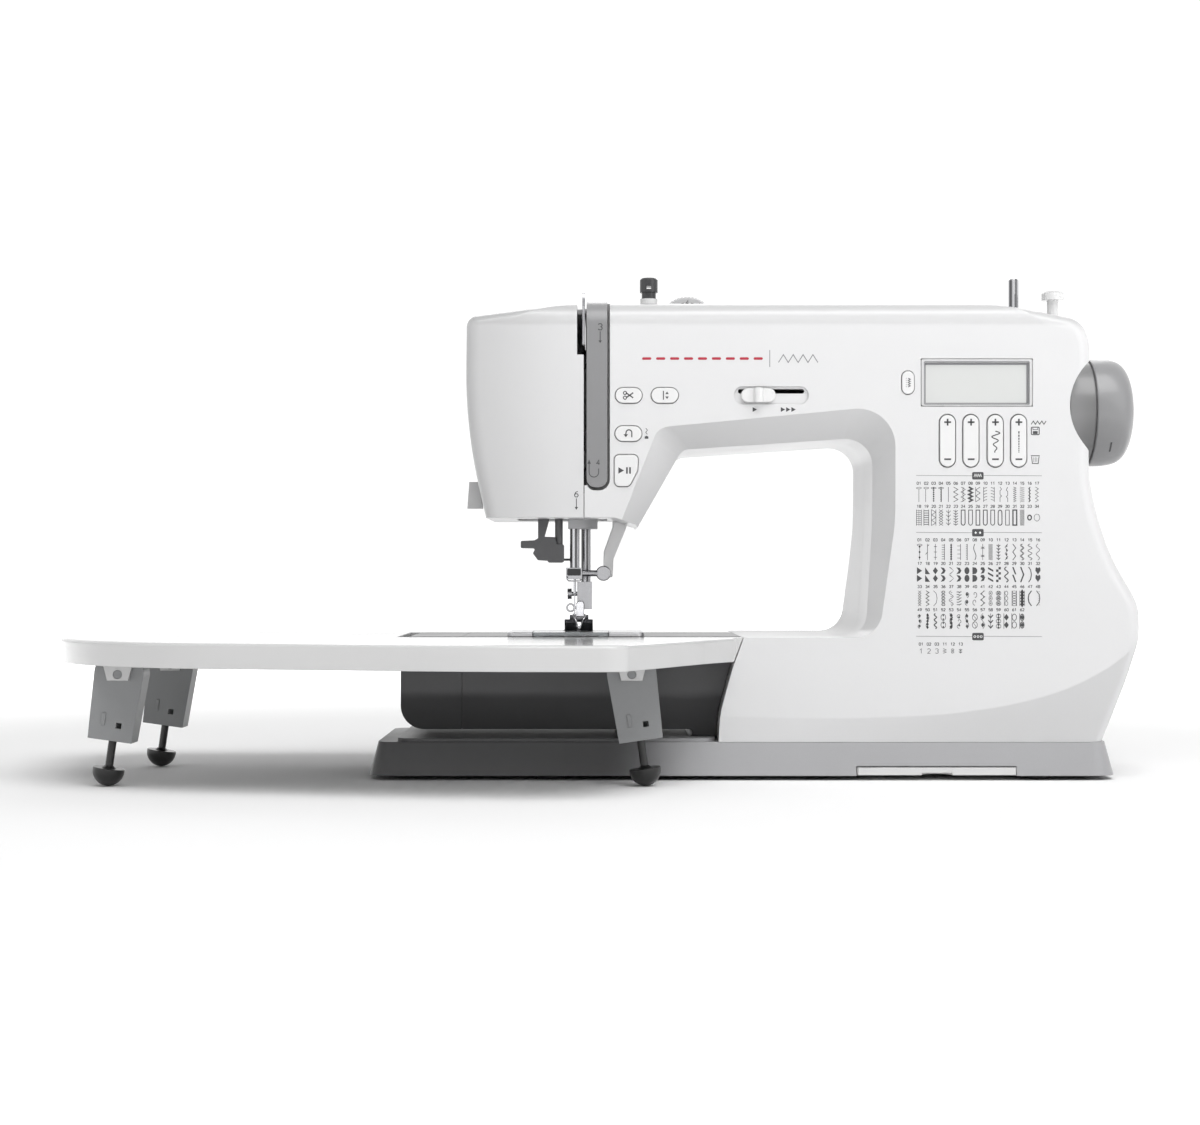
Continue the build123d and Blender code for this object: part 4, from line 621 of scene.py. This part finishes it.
def curl(n, swing):
    marks = []
    for i in range(n):
        side = 1 if i % 2 else -1
        line = []
        for k in range(12):
            t = 0.45 * k
            x = side * swing * math.sin(t) * (1 - t / 7)
            line.append((x, (i + 0.5 - 0.42 * math.cos(t) * (1 - t / 9)) / n))
        marks.append(("line", line, 0.24))
    return marks


def sprigs(n, swing, thick=0.3):
    marks = upright_line(0.0, 0.22)
    for i in range(n):
        z = (i + 0.4) / n
        for side in (-1, 1):
            marks.append(("line", [(0.0, z - 0.25 / n), (side * swing, z + 0.3 / n)], thick))
    return marks


def branches(n, side):
    marks = upright_line(-0.55 * side, 0.24)
    for i in range(n):
        z = (i + 0.5) / n
        marks.append(("line", [(-0.55 * side, z), (0.6 * side, z + 0.36 / n)], 0.24))
    return marks


TRIANGLE = ((-0.9, 0.04), (0.85, 0.5), (-0.9, 0.96))
WEDGE = ((-0.8, 0.05), (0.85, 0.05), (-0.8, 0.95))
DIAMOND = ((0.0, 0.03), (0.85, 0.5), (0.0, 0.97), (-0.85, 0.5))
CRESCENT = ((-0.9, 0.04), (0.3, 0.15), (0.8, 0.5), (0.3, 0.85), (-0.9, 0.96), (-0.1, 0.5))
CHEVRON = ((-0.7, 0.04), (0.8, 0.5), (-0.7, 0.96), (-0.3, 0.96), (0.9, 0.5), (-0.3, 0.04))
BALL = oval(0.85, 0.47, 0.5, 12)
HALF_BALL = ((-0.8, 0.03), (0.3, 0.1), (0.8, 0.35), (0.8, 0.65), (0.3, 0.9), (-0.8, 0.97))
COMMA = ((-0.7, 0.1), (0.4, 0.2), (0.8, 0.6), (0.4, 0.95), (-0.5, 0.95), (-0.8, 0.7), (-0.1, 0.5))
SLANT = ((-0.9, 0.6), (-0.9, 0.98), (0.9, 0.4), (0.9, 0.02))
CHECK_LOW = ((-0.8, 0.02), (0.0, 0.02), (0.0, 0.5), (-0.8, 0.5))
CHECK_HIGH = ((0.0, 0.5), (0.8, 0.5), (0.8, 0.98), (0.0, 0.98))
BOLT = ((-0.7, 0.98), (-0.2, 0.98), (0.7, 0.02), (0.2, 0.02))
HEART = (
    (0.0, 0.02), (0.85, 0.5), (0.8, 0.85), (0.4, 0.98),
    (0.0, 0.8), (-0.4, 0.98), (-0.8, 0.85), (-0.85, 0.5),
)
START_RING = [("ring", oval(0.85, 0.055, 0.93, 10), 0.2)]

USEFUL = [
    START_RING + upright_line(0, 0.22, 0, 0.87),
    START_RING + upright_line(-0.2, 0.22, 0, 0.87),
    START_RING + dots(7, 0.3),
    START_RING + dots(9, 0.24) + upright_line(0.15, 0.2, 0, 0.87),
    upright_line(0, 0.26),
    zigzag(6, 0.75),
    zigzag(6, 0.75, 0.2) + zigzag(12, 0.25, 0.15),
    zigzag(8, 0.6, 0.75),
    zigzag(5, 0.75) + upright_line(-0.75, 0.2),
    branches(5, 1),
    branches(5, -1),
    [("line", [(0, 0), (0, 0.3), (0.5, 0.4), (0, 0.5), (0, 0.75), (0.5, 0.85), (0, 1)], 0.24)],
    [("line", [(0.1, 0), (0.1, 0.25), (-0.4, 0.35), (0.1, 0.45), (0.1, 0.7), (-0.4, 0.8),
               (0.1, 1)], 0.24)],
    zigzag(14, 0.45, 0.24),
    zigzag(16, 0.75, 0.2),
    zigzag(9, 0.3, 0.3) + upright_line(0.0, 0.3),
    zigzag(8, 0.5, 0.22),
    upright_line(-0.8) + upright_line(0.0, 0.16) + upright_line(0.8) + rungs(8, -0.8, 0.8, 0.18),
    upright_line(-0.8) + upright_line(0.8) + rungs(7, -0.8, 0.8, 0.3),
    upright_line(-0.75) + upright_line(0.75) + zigzag(6, 0.7, 0.22),
    zigzag(6, 0.65, 0.22) + zigzag(6, -0.65, 0.22),
    sprigs(4, 0.75, 0.24),
    sprigs(6, 0.75, 0.28),
    slot_frame(0.42, False, True),
    slot_frame(0.36, False, True),
    slot_frame(0.42, False, False),
    slot_frame(0.42, False, True),
    slot_frame(0.36, False, True),
    slot_frame(0.42, True, True),
    slot_frame(0.32, False, False),
    slot_frame(0.6, False, False),
    rungs(24, -0.75, 0.75, 0.13),
    [("ring", oval(0.62, 0.15, 0.5, 14), 0.55)],
    [("ring", oval(0.95, 0.22, 0.5, 16), 0.2)],
]
DECORATIVE = [
    START_RING + upright_line(0, 0.2, 0, 0.87) + dots(3, 0.35),
    upright_line(0, 0.22)
    + [("line", [(-0.6, 0.35), (0, 0.5)], 0.26), ("line", [(0, 0.85), (0.5, 0.97)], 0.26)],
    upright_line(0, 0.22) + rungs(3, -0.5, 0.5, 0.24),
    upright_line(0.4, 0.26) + rungs(7, -0.5, 0.4, 0.24),
    upright_line(0, 0.26) + dots(7, 0.36),
    upright_line(0.5, 0.24) + rungs(4, -0.6, 0.5, 0.2),
    upright_line(0.1, 0.26) + rungs(9, -0.35, 0.1, 0.2),
    wave(1, 0.4, 0.32),
    upright_line(0, 0.22)
    + [("line", [(-0.6, 0.2 + s), (0.6, 0.32 + s)], 0.24) for s in (0, 0.5)]
    + [("line", [(-0.6, 0.32 + s), (0.6, 0.2 + s)], 0.24) for s in (0, 0.5)],
    rungs(20, -0.7, 0.7, 0.16),
    sprigs(5, 0.6, 0.34),
    zigzag(5, 0.45, 0.24) + dots(4, 0.3, 0.1),
    zigzag(4, 0.5, 0.34),
    wave(3, 0.45, 0.26, 0.15) + wave(3, 0.45, 0.2, -0.2),
    wave(3, 0.7, 0.28),
    wave(2, 0.6, 0.24),
    shapes(2, TRIANGLE), shapes(2, WEDGE), shapes(2, DIAMOND), shapes(2, CRESCENT),
    shapes(2, CHEVRON), shapes(2, CRESCENT), shapes(2, BALL), shapes(2, HALF_BALL),
    shapes(2, COMMA), shapes(3, SLANT), shapes(3, CHECK_LOW) + shapes(3, CHECK_HIGH),
    wave(2, 0.6, 0.5),
    shapes(2, BOLT), [("line", [(-0.5, 0), (0.5, 0.5), (-0.5, 1)], 0.6)],
    [("line", [(-0.5, 0), (0.2, 0.2), (0.45, 0.5), (0.2, 0.8), (-0.5, 1)], 0.42)],
    shapes(2, HEART),
    zigzag(6, 0.5, 0.2) + zigzag(6, -0.5, 0.2),
    zigzag(8, 0.5, 0.3),
    [("line", [(-0.6, 0), (0.3, 0.2), (0.55, 0.5), (0.3, 0.8), (-0.6, 1)], 0.22)],
    loops(5, 0.6) + loops(5, 0.28, 0.18),
    wave(2, 0.7, 0.24) + rungs(4, -0.2, 0.4, 0.2),
    rungs(6, -0.8, 0.1, 0.34) + rungs(5, -0.1, 0.8, 0.34, 0.1),
    curl(2, 0.8) + dots(2, 0.5),
    curl(2, 0.85),
    zigzag(5, 0.75, 0.22) + zigzag(5, 0.4, 0.22),
    loops(3, 0.55) + dots(3, 0.25),
    loops(3, 0.8) + loops(3, 0.4) + dots(3, 0.3),
    loops(3, 0.5) + upright_line(-0.7, 0.2),
    loops(6, 0.7, 0.2) + upright_line(-0.75) + upright_line(0.75),
    upright_line(-0.8) + upright_line(0.8) + dots(5, 0.7),
    [("line", [(0.5, 0), (-0.4, 0.25), (-0.6, 0.5), (-0.4, 0.75), (0.5, 1)], 0.5)],
    [("line", [(-0.5, 0), (0.4, 0.25), (0.6, 0.5), (0.4, 0.75), (-0.5, 1)], 0.36)]
    + rungs(7, 0.1, 0.7, 0.14),
    curl(3, 0.7) + dots(3, 0.4),
    curl(2, 0.6) + dots(5, 0.45),
    wave(3, 0.4, 0.5),
    loops(2, 0.8, 0.24) + dots(4, 0.3),
    zigzag(4, 0.5, 0.3) + dots(4, 0.55),
    curl(3, 0.85) + dots(2, 0.35),
    wave(1, 0.6, 0.24) + dots(3, 0.5),
    loops(2, 0.85, 0.24) + wave(2, 0.4, 0.2),
    wave(1, 0.7, 0.22) + dots(2, 0.6),
    sprigs(3, 0.8, 0.5),
    loops(3, 0.8) + dots(6, 0.35),
    upright_line(-0.85) + dots(2, 0.8),
    upright_line(-0.85) + loops(2, 0.75, 0.3),
    upright_line(-0.85) + loops(2, 0.6, 0.4) + dots(2, 0.6),
]


LABEL_TALL = 1.5
LABEL_PEN = 0.34
HALF_CELL = 1.75
PICTURE_WEIGHT = 1.3


def picture(sheet, marks, cx, low, high, half=HALF_CELL):
    """One stitch picture in its cell, from its marks."""
    for kind, points, thick in marks:
        spots = [(cx + x * half, low + z * (high - low)) for x, z in points]
        if kind == "fill":
            sheet.area(spots)
        else:
            sheet.line(spots, thick * PICTURE_WEIGHT, kind == "ring")


def chart_block(sheet, pictures, left, pitch, columns, rows):
    """Numbered pictures in rows, each given as its top, foot and number height."""
    for index, marks in enumerate(pictures):
        row, column = divmod(index, columns)
        high, low, label_z = rows[row]
        cx = left + pitch * column
        number(sheet, f"{index + 1:02d}", cx, label_z, LABEL_TALL, LABEL_PEN)
        picture(sheet, marks, cx, low, high)


USEFUL_ROWS = ((172.0, 163.2, 174.2), (158.7, 149.3, 160.6))
DECORATIVE_ROWS = (
    (138.5, 129.0, 140.9), (125.0, 116.0, 127.0), (111.0, 102.0, 113.4), (97.6, 88.6, 99.8),
)
chart = Print(FRONT)
chart_block(chart, USEFUL, 186.1, 4.34, 17, USEFUL_ROWS)
chart_block(chart, DECORATIVE, 186.5, 4.64, 16, DECORATIVE_ROWS)
SAMPLES = (zigzag(4, 0.6), loops(2, 0.5), sprigs(2, 0.6))
for column, text in enumerate(("01", "02", "03", "11", "12", "13")):
    cx = 187.3 + 4.65 * column
    number(chart, text, cx, 79.6, LABEL_TALL, LABEL_PEN)
    if column < 3:
        number(chart, str(column + 1), cx, 75.5, 2.7, 0.3)
    else:
        picture(chart, SAMPLES[column - 3], cx, 74.2, 76.9, 1.5)
chart.build("stitch_chart", dark_ink, "machine")

rules = Print(FRONT)
labels = Print(FRONT)
glyphs = Print(FRONT - INK_THICK)
for z in (178.8, 145.3, 84.2):
    for low, high in ((184.5, 217.5), (224.1, 258.4)):
        rules.line([(low, z), (high, z - (high - low) * 0.006)], 0.3)
    labels.area(rounded(220.8, z - 0.2, 6.8, 4.4, 0.8))
glyphs.line([(218.6 + 0.55 * i, 178.0 + (1.6 if i % 2 else 0.0)) for i in range(9)], 0.35)
for cx in (219.5, 222.1):
    glyphs.area([(cx + x * 0.8, 144.2 + 1.8 * z) for x, z in DIAMOND])
for cx in (218.9, 220.8, 222.7):
    glyphs.line(ring(cx, 84.0, 0.6, 8), 0.3, True)
rules.build("chart_rules", grey_ink_and_shadow, "machine")
labels.build("chart_labels", dark_ink, "machine")
glyphs.build("chart_label_marks", light_ink, "machine")

# ------------------------------------------------- marks beside the controls
side = Print(FRONT)
# Memory card and bin beside the rockers, and a coil of thread for the memory key
side.line(rounded(254.6, 205.0, 4.6, 4.4, 0.5), 0.55, True)
side.area([(253.2, 203.2), (256.0, 203.2), (256.0, 204.9), (253.2, 204.9)])
side.line([(253.2, 206.8), (253.2, 205.8), (256.0, 205.8), (256.0, 206.8)], 0.35)
side.line([(252.4, 189.9), (252.9, 185.8), (256.3, 185.8), (256.8, 189.9)], 0.45)
side.line([(252.0, 190.4), (257.2, 190.4)], 0.5)
for x in (253.7, 254.6, 255.5):
    side.line([(x, 186.8), (x, 189.4)], 0.25)
side.line([(252.2 + 1.25 * i, 208.9 + (1.9 if i % 2 else 0.0)) for i in range(8)], 0.5)
# One arrowhead for slow and three for fast
for x in (88.3, 104.9, 108.0, 111.1):
    side.area([(x, 216.2), (x + 2.6, 217.6), (x, 219.0)])
# Small foot picture beside the reverse key
side.line([(25.4, 206.6), (26.4, 205.4), (25.4, 204.2), (26.4, 203.0)], 0.35)
side.area([(24.8, 200.4), (27.0, 200.4), (27.0, 201.6), (25.9, 202.2), (24.8, 201.6)])
side.build("control_marks", dark_ink, "machine")

# A running stitch and a zigzag on the head
stitches = Print(FRONT)
for i in range(9):
    x = 26.0 + 8.2 * i
    stitches.area(rounded(x, 247.6, 5.4, 1.5, 0.7))
stitches.build("running_stitch", red_ink, "machine")
plain = Print(FRONT)
plain.line([(98.4, 242.6), (98.4, 252.6)], 0.45)
plain.line([(103.5 + 2.9 * i, 247.6 + (2.3 if i % 2 else -2.3)) for i in range(9)], 0.55)
plain.build("zigzag_stitch", grey_ink_and_shadow, "machine")

# Threading marks on the channel strip and the face
strip_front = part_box("channel_cover")[0].y / MM
path = Print(strip_front)
number(path, "3", -1.4, 266.2, 3.6, 0.55)
arrow_down(path, -1.4, 263.6, 256.6)
turn_round = arc(-5.1, 180.6, 2.8, 180.0, 360.0, 10)
path.line([(-7.9, 186.0), (-7.9, 181.2)] + turn_round + [(-2.3, 182.8)], 0.5)
path.area([(-8.9, 185.6), (-7.9, 188.2), (-6.9, 185.6)])
number(path, "4", -2.6, 186.4, 2.8, 0.5)
path.build("thread_path_marks", dark_ink, "machine")
face = Print(FRONT)
number(face, "6", -15.4, 167.8, 3.3, 0.5)
arrow_down(face, -15.4, 165.3, 158.6)
face.build("face_marks", dark_ink, "machine")


def key_print(node_name, body, draw):
    """A mark printed on a key's front, riding with the key."""
    low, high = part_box(node_name)
    sheet = Print(low.y / MM)
    draw(sheet, (low.x + high.x) / 2.0 / MM, (low.z + high.z) / 2.0 / MM)
    sheet.build(node_name + "_mark", dark_ink, body)


def scissors(sheet, x, z):
    for side_of in (-1, 1):
        sheet.line([(x - 1.6, z - 1.5 * side_of), (x + 2.6, z + 1.5 * side_of)], 0.75)
        sheet.line(ring(x - 2.2, z - 1.4 * side_of, 0.95, 10), 0.55, True)


def needle_mark(sheet, x, z):
    sheet.line([(x - 0.8, z - 2.6), (x - 0.8, z + 2.6)], 0.6)
    sheet.area([(x + 0.3, z + 0.7), (x + 1.3, z + 2.2), (x + 2.3, z + 0.7)])
    sheet.area([(x + 0.3, z - 0.7), (x + 2.3, z - 0.7), (x + 1.3, z - 2.2)])


def reverse_mark(sheet, x, z):
    bend = arc(x + 0.3, z + 0.5, 1.7, 180.0, 0.0, 10)
    sheet.line([(x - 1.6, z - 0.9)] + bend + [(x + 2.0, z - 2.2)], 0.7)
    sheet.area([(x - 2.9, z - 0.4), (x - 1.5, z - 2.2), (x - 0.2, z - 0.4)])


def start_mark(sheet, x, z):
    sheet.area([(x - 4.6, z - 1.9), (x - 1.3, z), (x - 4.6, z + 1.9)])
    for offset in (-0.1, 1.7):
        left, right = x + offset, x + offset + 1.0
        sheet.area([(left, z - 1.9), (right, z - 1.9), (right, z + 1.9), (left, z + 1.9)])


def mode_mark(sheet, x, z):
    sheet.line([(x + (1.3 if i % 2 else 0.0), z - 2.6 + 0.65 * i) for i in range(9)], 0.42)
    for i in range(5):
        sheet.line([(x - 1.1, z - 2.6 + 1.2 * i), (x - 1.1, z - 2.1 + 1.2 * i)], 0.25)


key_print("cutter_button", "cutter_key", scissors)
key_print("needle_button", "needle_key", needle_mark)
key_print("reverse_button", "reverse_key", reverse_mark)
key_print("start_button", "start_key", start_mark)
key_print("mode_button", "mode_key", mode_mark)


def rocker_mark(extra):
    """A plus at the key's top and a minus at its foot, with any extra mark between."""

    def draw(sheet, x, z):
        sheet.line([(x - 2.0, z + 10.9), (x + 2.0, z + 10.9)], 1.0)
        sheet.line([(x, z + 8.9), (x, z + 12.9)], 1.0)
        sheet.line([(x - 2.0, z - 10.9), (x + 2.0, z - 10.9)], 1.0)
        if extra:
            extra(sheet, x, z)

    return draw


def width_mark(sheet, x, z):
    line = []
    for i in range(33):
        share = i / 32.0
        swing = 2.4 * (1.15 - share) * math.sin(share * 5.6 * math.pi)
        line.append((x + swing, z + 5.6 - 12.6 * share))
    sheet.line(line, 0.62)


def length_mark(sheet, x, z):
    top = z + 5.6
    for i in range(9):
        run = 2.3 - 0.16 * i
        sheet.line([(x, top), (x, top - run * 0.62)], 0.75 - 0.03 * i)
        top -= run * 0.86


for count, extra in enumerate((None, None, width_mark, length_mark), start=1):
    key_print(f"rocker_{count}", f"rocker_key_{count}", rocker_mark(extra))

# Tension dial: numbers round its face, arcs between them
DIAL_STEP_DEG = 32.0
DIAL_NUMBER_RADIUS = 13.6
DIAL_NUMBER_TALL = 2.6
DIAL_ARC_RADIUS = 13.4
dial_low, dial_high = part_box("tension_dial")
dial_x = (dial_low.x + dial_high.x) / 2.0 / MM
dial_z = (dial_low.z + dial_high.z) / 2.0 / MM
dial = Print(dial_low.y / MM)
unit = DIAL_NUMBER_TALL / DIGIT_TALL
for step in range(10):
    turn = math.radians(90.0 - (step - 4) * DIAL_STEP_DEG)
    cx = dial_x + DIAL_NUMBER_RADIUS * math.cos(turn)
    cz = dial_z + DIAL_NUMBER_RADIUS * math.sin(turn)
    spin = turn - math.pi / 2.0
    points = []
    for u, v in DIGITS[str(step)]:
        a, b = (u - 0.5) * unit, (v - DIGIT_TALL / 2.0) * unit
        x = cx + a * math.cos(spin) - b * math.sin(spin)
        z = cz + a * math.sin(spin) + b * math.cos(spin)
        points.append((x, z))
    dial.line(points, 0.36)
    if step < 9:
        middle = math.degrees(turn) - DIAL_STEP_DEG / 2.0
        dial.line(arc(dial_x, dial_z, DIAL_ARC_RADIUS, middle + 7.0, middle - 7.0, 5), 0.34)
dial.build("tension_dial_marks", dark_ink, "dial")


# ------------------------------------------------------------ added details
WIRE_SIDES = 12


def skin(name, rings, material, body, smooth=True):
    """A skin over rows of points, capped at both ends and riding on a body."""
    mesh = bmesh.new()
    rows = [[mesh.verts.new(Vector(point) * MM) for point in points] for points in rings]
    count = len(rows[0])
    for near, far in zip(rows, rows[1:]):
        for k in range(count):
            m = (k + 1) % count
            mesh.faces.new((near[k], near[m], far[m], far[k]))
    mesh.faces.new(rows[0][::-1])
    mesh.faces.new(rows[-1])
    add_piece(name, mesh, material, body, smooth=smooth)


def wire(name, points, radius, material, body):
    """A bent wire of round section through the points."""
    rings = []
    for i, point in enumerate(points):
        before = Vector(points[max(i - 1, 0)])
        after = Vector(points[min(i + 1, len(points) - 1)])
        along = (after - before).normalized()
        other = Vector((0.0, 0.0, 1.0) if abs(along.z) < 0.9 else (0.0, 1.0, 0.0))
        side_way = along.cross(other).normalized()
        up_way = side_way.cross(along)
        row = []
        for k in range(WIRE_SIDES):
            turn = math.tau * k / WIRE_SIDES
            reach = side_way * math.cos(turn) + up_way * math.sin(turn)
            row.append(Vector(point) + reach * radius)
        rings.append(row)
    skin(name, rings, material, body)


# The display: a pale screen at the bottom of its window, with painted shadow along its top and
# right
SCREEN_Y = FRONT + 1.2
SCREEN_X, SCREEN_Z = 220.25, 233.25
screen_pale = moulded("screen", (0.62, 0.63, 0.62), 0.12, 0.012, 0.02, 0.8, soft=0.02)
screen = Print(SCREEN_Y)
screen.area(rounded(SCREEN_X, SCREEN_Z, 61.3, 24.5, 0.3))
screen.build("display_screen", screen_pale, "machine")
# Painted shadow in the window: heavy along the top and right, thin along the left and bottom.
shade = Print(SCREEN_Y - 0.1)
shade.line([(189.9, 244.6), (250.2, 244.6), (250.2, 221.4)], 1.3)
shade.line([(190.1, 244.6), (190.1, 221.4), (250.2, 221.4)], 0.4)
shade.build("display_shadow", grey_ink_and_shadow, "machine")
rim = Print(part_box("lcd_panel")[0].y / MM)
rim.line(rounded(SCREEN_X, SCREEN_Z, 61.8, 25.1, 0.5), 0.45, True)
rim.build("display_rim", grey_ink_and_shadow, "machine")

# Needle area: plated block and thread guide on the foot; on the needle clamp a dark patch of
# painted shade for its window, and a lip
BLOCK_X, BLOCK_Z = -13.7, 99.0
block = [
    (-16.2, 94.4), (-11.2, 94.4), (-11.2, 102.6), (-12.0, 104.1), (-15.4, 104.1), (-16.2, 102.6),
]
rings = []
for y, inset in ((38.9, 0.0), (36.9, 0.0), (36.5, 0.4)):
    row = []
    for x, z in block:
        side_x = 1 if x < BLOCK_X else -1
        side_z = 1 if z < BLOCK_Z else -1
        row.append((x + inset * side_x, y, z + inset * side_z))
    rings.append(row)
skin("foot_block", rings, steel, "presser", smooth=False)
wire(
    "foot_guide",
    [
        (-17.6, 15.0, 96.4), (-17.3, 12.6, 95.6), (-15.6, 11.7, 91.0), (-14.4, 11.5, 88.4),
        (-14.0, 11.5, 88.1), (-13.6, 11.5, 88.4), (-12.4, 11.7, 91.0), (-10.9, 12.6, 95.0),
        (-10.6, 15.0, 96.0),
    ],
    0.65, steel, "presser",
)
bar_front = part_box("needle_bar")[0].y / MM
# The clamp's window is a dark patch of painted shade on the bar's front.
clamp = Print(bar_front)
clamp.area(rounded(-17.4, 121.9, 8.4, 4.2, 0.8))
clamp.build("clamp_window_shade", hook_dark, "needle_carrier")
wire(
    "clamp_lip",
    [
        (-21.6, bar_front - 0.2, 119.2), (-21.4, bar_front - 0.4, 117.4),
        (-20.6, bar_front - 0.4, 116.6), (-17.0, bar_front - 0.4, 116.5),
        (-14.0, bar_front - 0.4, 116.8), (-12.9, bar_front - 0.2, 117.4),
    ],
    0.45, steel, "needle_carrier",
)

# Index tick on the handwheel's rim
wheel_low, wheel_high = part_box("handwheel")
wheel_y = (wheel_low.y + wheel_high.y) / 2.0 / MM
wheel_z = (wheel_low.z + wheel_high.z) / 2.0 / MM
wheel_r = (wheel_high.z - wheel_low.z) / 2.0 / MM
TICK_LEFT_X, TICK_RIGHT_X = 306.9, 307.9
section = (
    (TICK_LEFT_X, wheel_r - 0.8), (TICK_LEFT_X, wheel_r - 0.1),
    (TICK_RIGHT_X, wheel_r - 0.18), (TICK_RIGHT_X, wheel_r - 0.8),
)
rings = []
for k in range(9):
    turn = math.radians(217.0 + 1.6 * k)
    rings.append([
        (x, wheel_y + r * math.cos(turn), wheel_z + r * math.sin(turn)) for x, r in section
    ])
skin("wheel_tick", rings, dark_ink, "upper_shaft", smooth=False)

# ---------------------------------------------------- camera, floor, lights
FLOOR_DROP = 0.0002
GLOW_START, GLOW_END = 0.45, 1.5

camera_data = bpy.data.cameras.new("camera")
camera_data.lens = 66.3
camera_data.sensor_width = 36.0
camera = bpy.data.objects.new("camera", camera_data)
camera.location = (-0.0015, -1.324, 0.122)
camera.rotation_euler = (math.radians(90.246), 0.0, 0.0)
bpy.context.scene.collection.objects.link(camera)
bpy.context.scene.camera = camera

# The floor glows more with distance, so that it runs into the white background.
floor_material, floor_tree, floor_shader = new_material("floor_white")
floor_shade = mix(
    floor_tree, noise(floor_tree, 1.5), (0.93, 0.93, 0.93, 1.0), (0.95, 0.95, 0.95, 1.0)
)
floor_tree.links.new(floor_shade, floor_shader.inputs["Base Color"])
away = node(
    floor_tree, "ShaderNodeVectorMath", ((0, place(floor_tree)),), operation="LENGTH"
).outputs["Value"]
glow = ramp(floor_tree, away, GLOW_START, GLOW_END, 0.0, 1.0)
floor_tree.links.new(glow, floor_shader.inputs["Emission Strength"])
floor_shader.inputs["Emission Color"].default_value = (1.0, 1.0, 1.0, 1.0)
floor_shader.inputs["Roughness"].default_value = 0.9
floor_shader.inputs["Specular IOR Level"].default_value = 0.1
floor_mesh = bmesh.new()
floor_corners = ((-9, -7), (9, -7), (9, 11), (-9, 11))
floor_mesh.faces.new([floor_mesh.verts.new((x, y, -FLOOR_DROP)) for x, y in floor_corners])
floor_data = bpy.data.meshes.new("floor")
floor_mesh.to_mesh(floor_data)
floor_mesh.free()
floor_data.materials.append(floor_material)
floor = bpy.data.objects.new("floor", floor_data)
bpy.context.scene.collection.objects.link(floor)


def softbox(name, location, target, size, power, height=None):
    """A rectangular area light aimed at a point."""
    data = bpy.data.lights.new(name, "AREA")
    data.energy = power
    data.shape = "RECTANGLE"
    data.size = size
    data.size_y = height or size
    lamp = bpy.data.objects.new(name, data)
    lamp.location = location
    aim = Vector(target) - Vector(location)
    lamp.rotation_euler = aim.to_track_quat("-Z", "Y").to_euler()
    bpy.context.scene.collection.objects.link(lamp)


softbox("key_light", (0.5, -1.1, 2.1), (0.0, 0.0, 0.1), size=1.9, power=41.0, height=1.6)
softbox("fill_light", (-2.2, -0.9, 1.1), (0.0, 0.0, 0.15), size=1.4, power=3.0)
softbox("right_light", (2.0, -1.7, 1.0), (0.1, 0.0, 0.15), size=1.5, power=9.0)
softbox("back_light", (0.2, 2.4, 1.9), (0.0, 0.0, 0.1), size=1.8, power=16.0)

# The world is white to look at and in reflections, and dimmer as a light.
AMBIENT, BACKDROP = 0.36, 1.1
world = bpy.data.worlds.new("studio")
bpy.context.scene.world = world
world.use_nodes = True
world_tree = world.node_tree
background = world_tree.nodes["Background"]
background.inputs["Color"].default_value = (1.0, 1.0, 1.0, 1.0)
rays = node(world_tree, "ShaderNodeLightPath").outputs
seen = maths(world_tree, "MAXIMUM", rays["Is Camera Ray"], rays["Is Glossy Ray"])
strength = ramp(world_tree, seen, 0.0, 1.0, AMBIENT, BACKDROP, "LINEAR")
world_tree.links.new(strength, background.inputs["Strength"])
bpy.context.scene.view_settings.view_transform = "Standard"
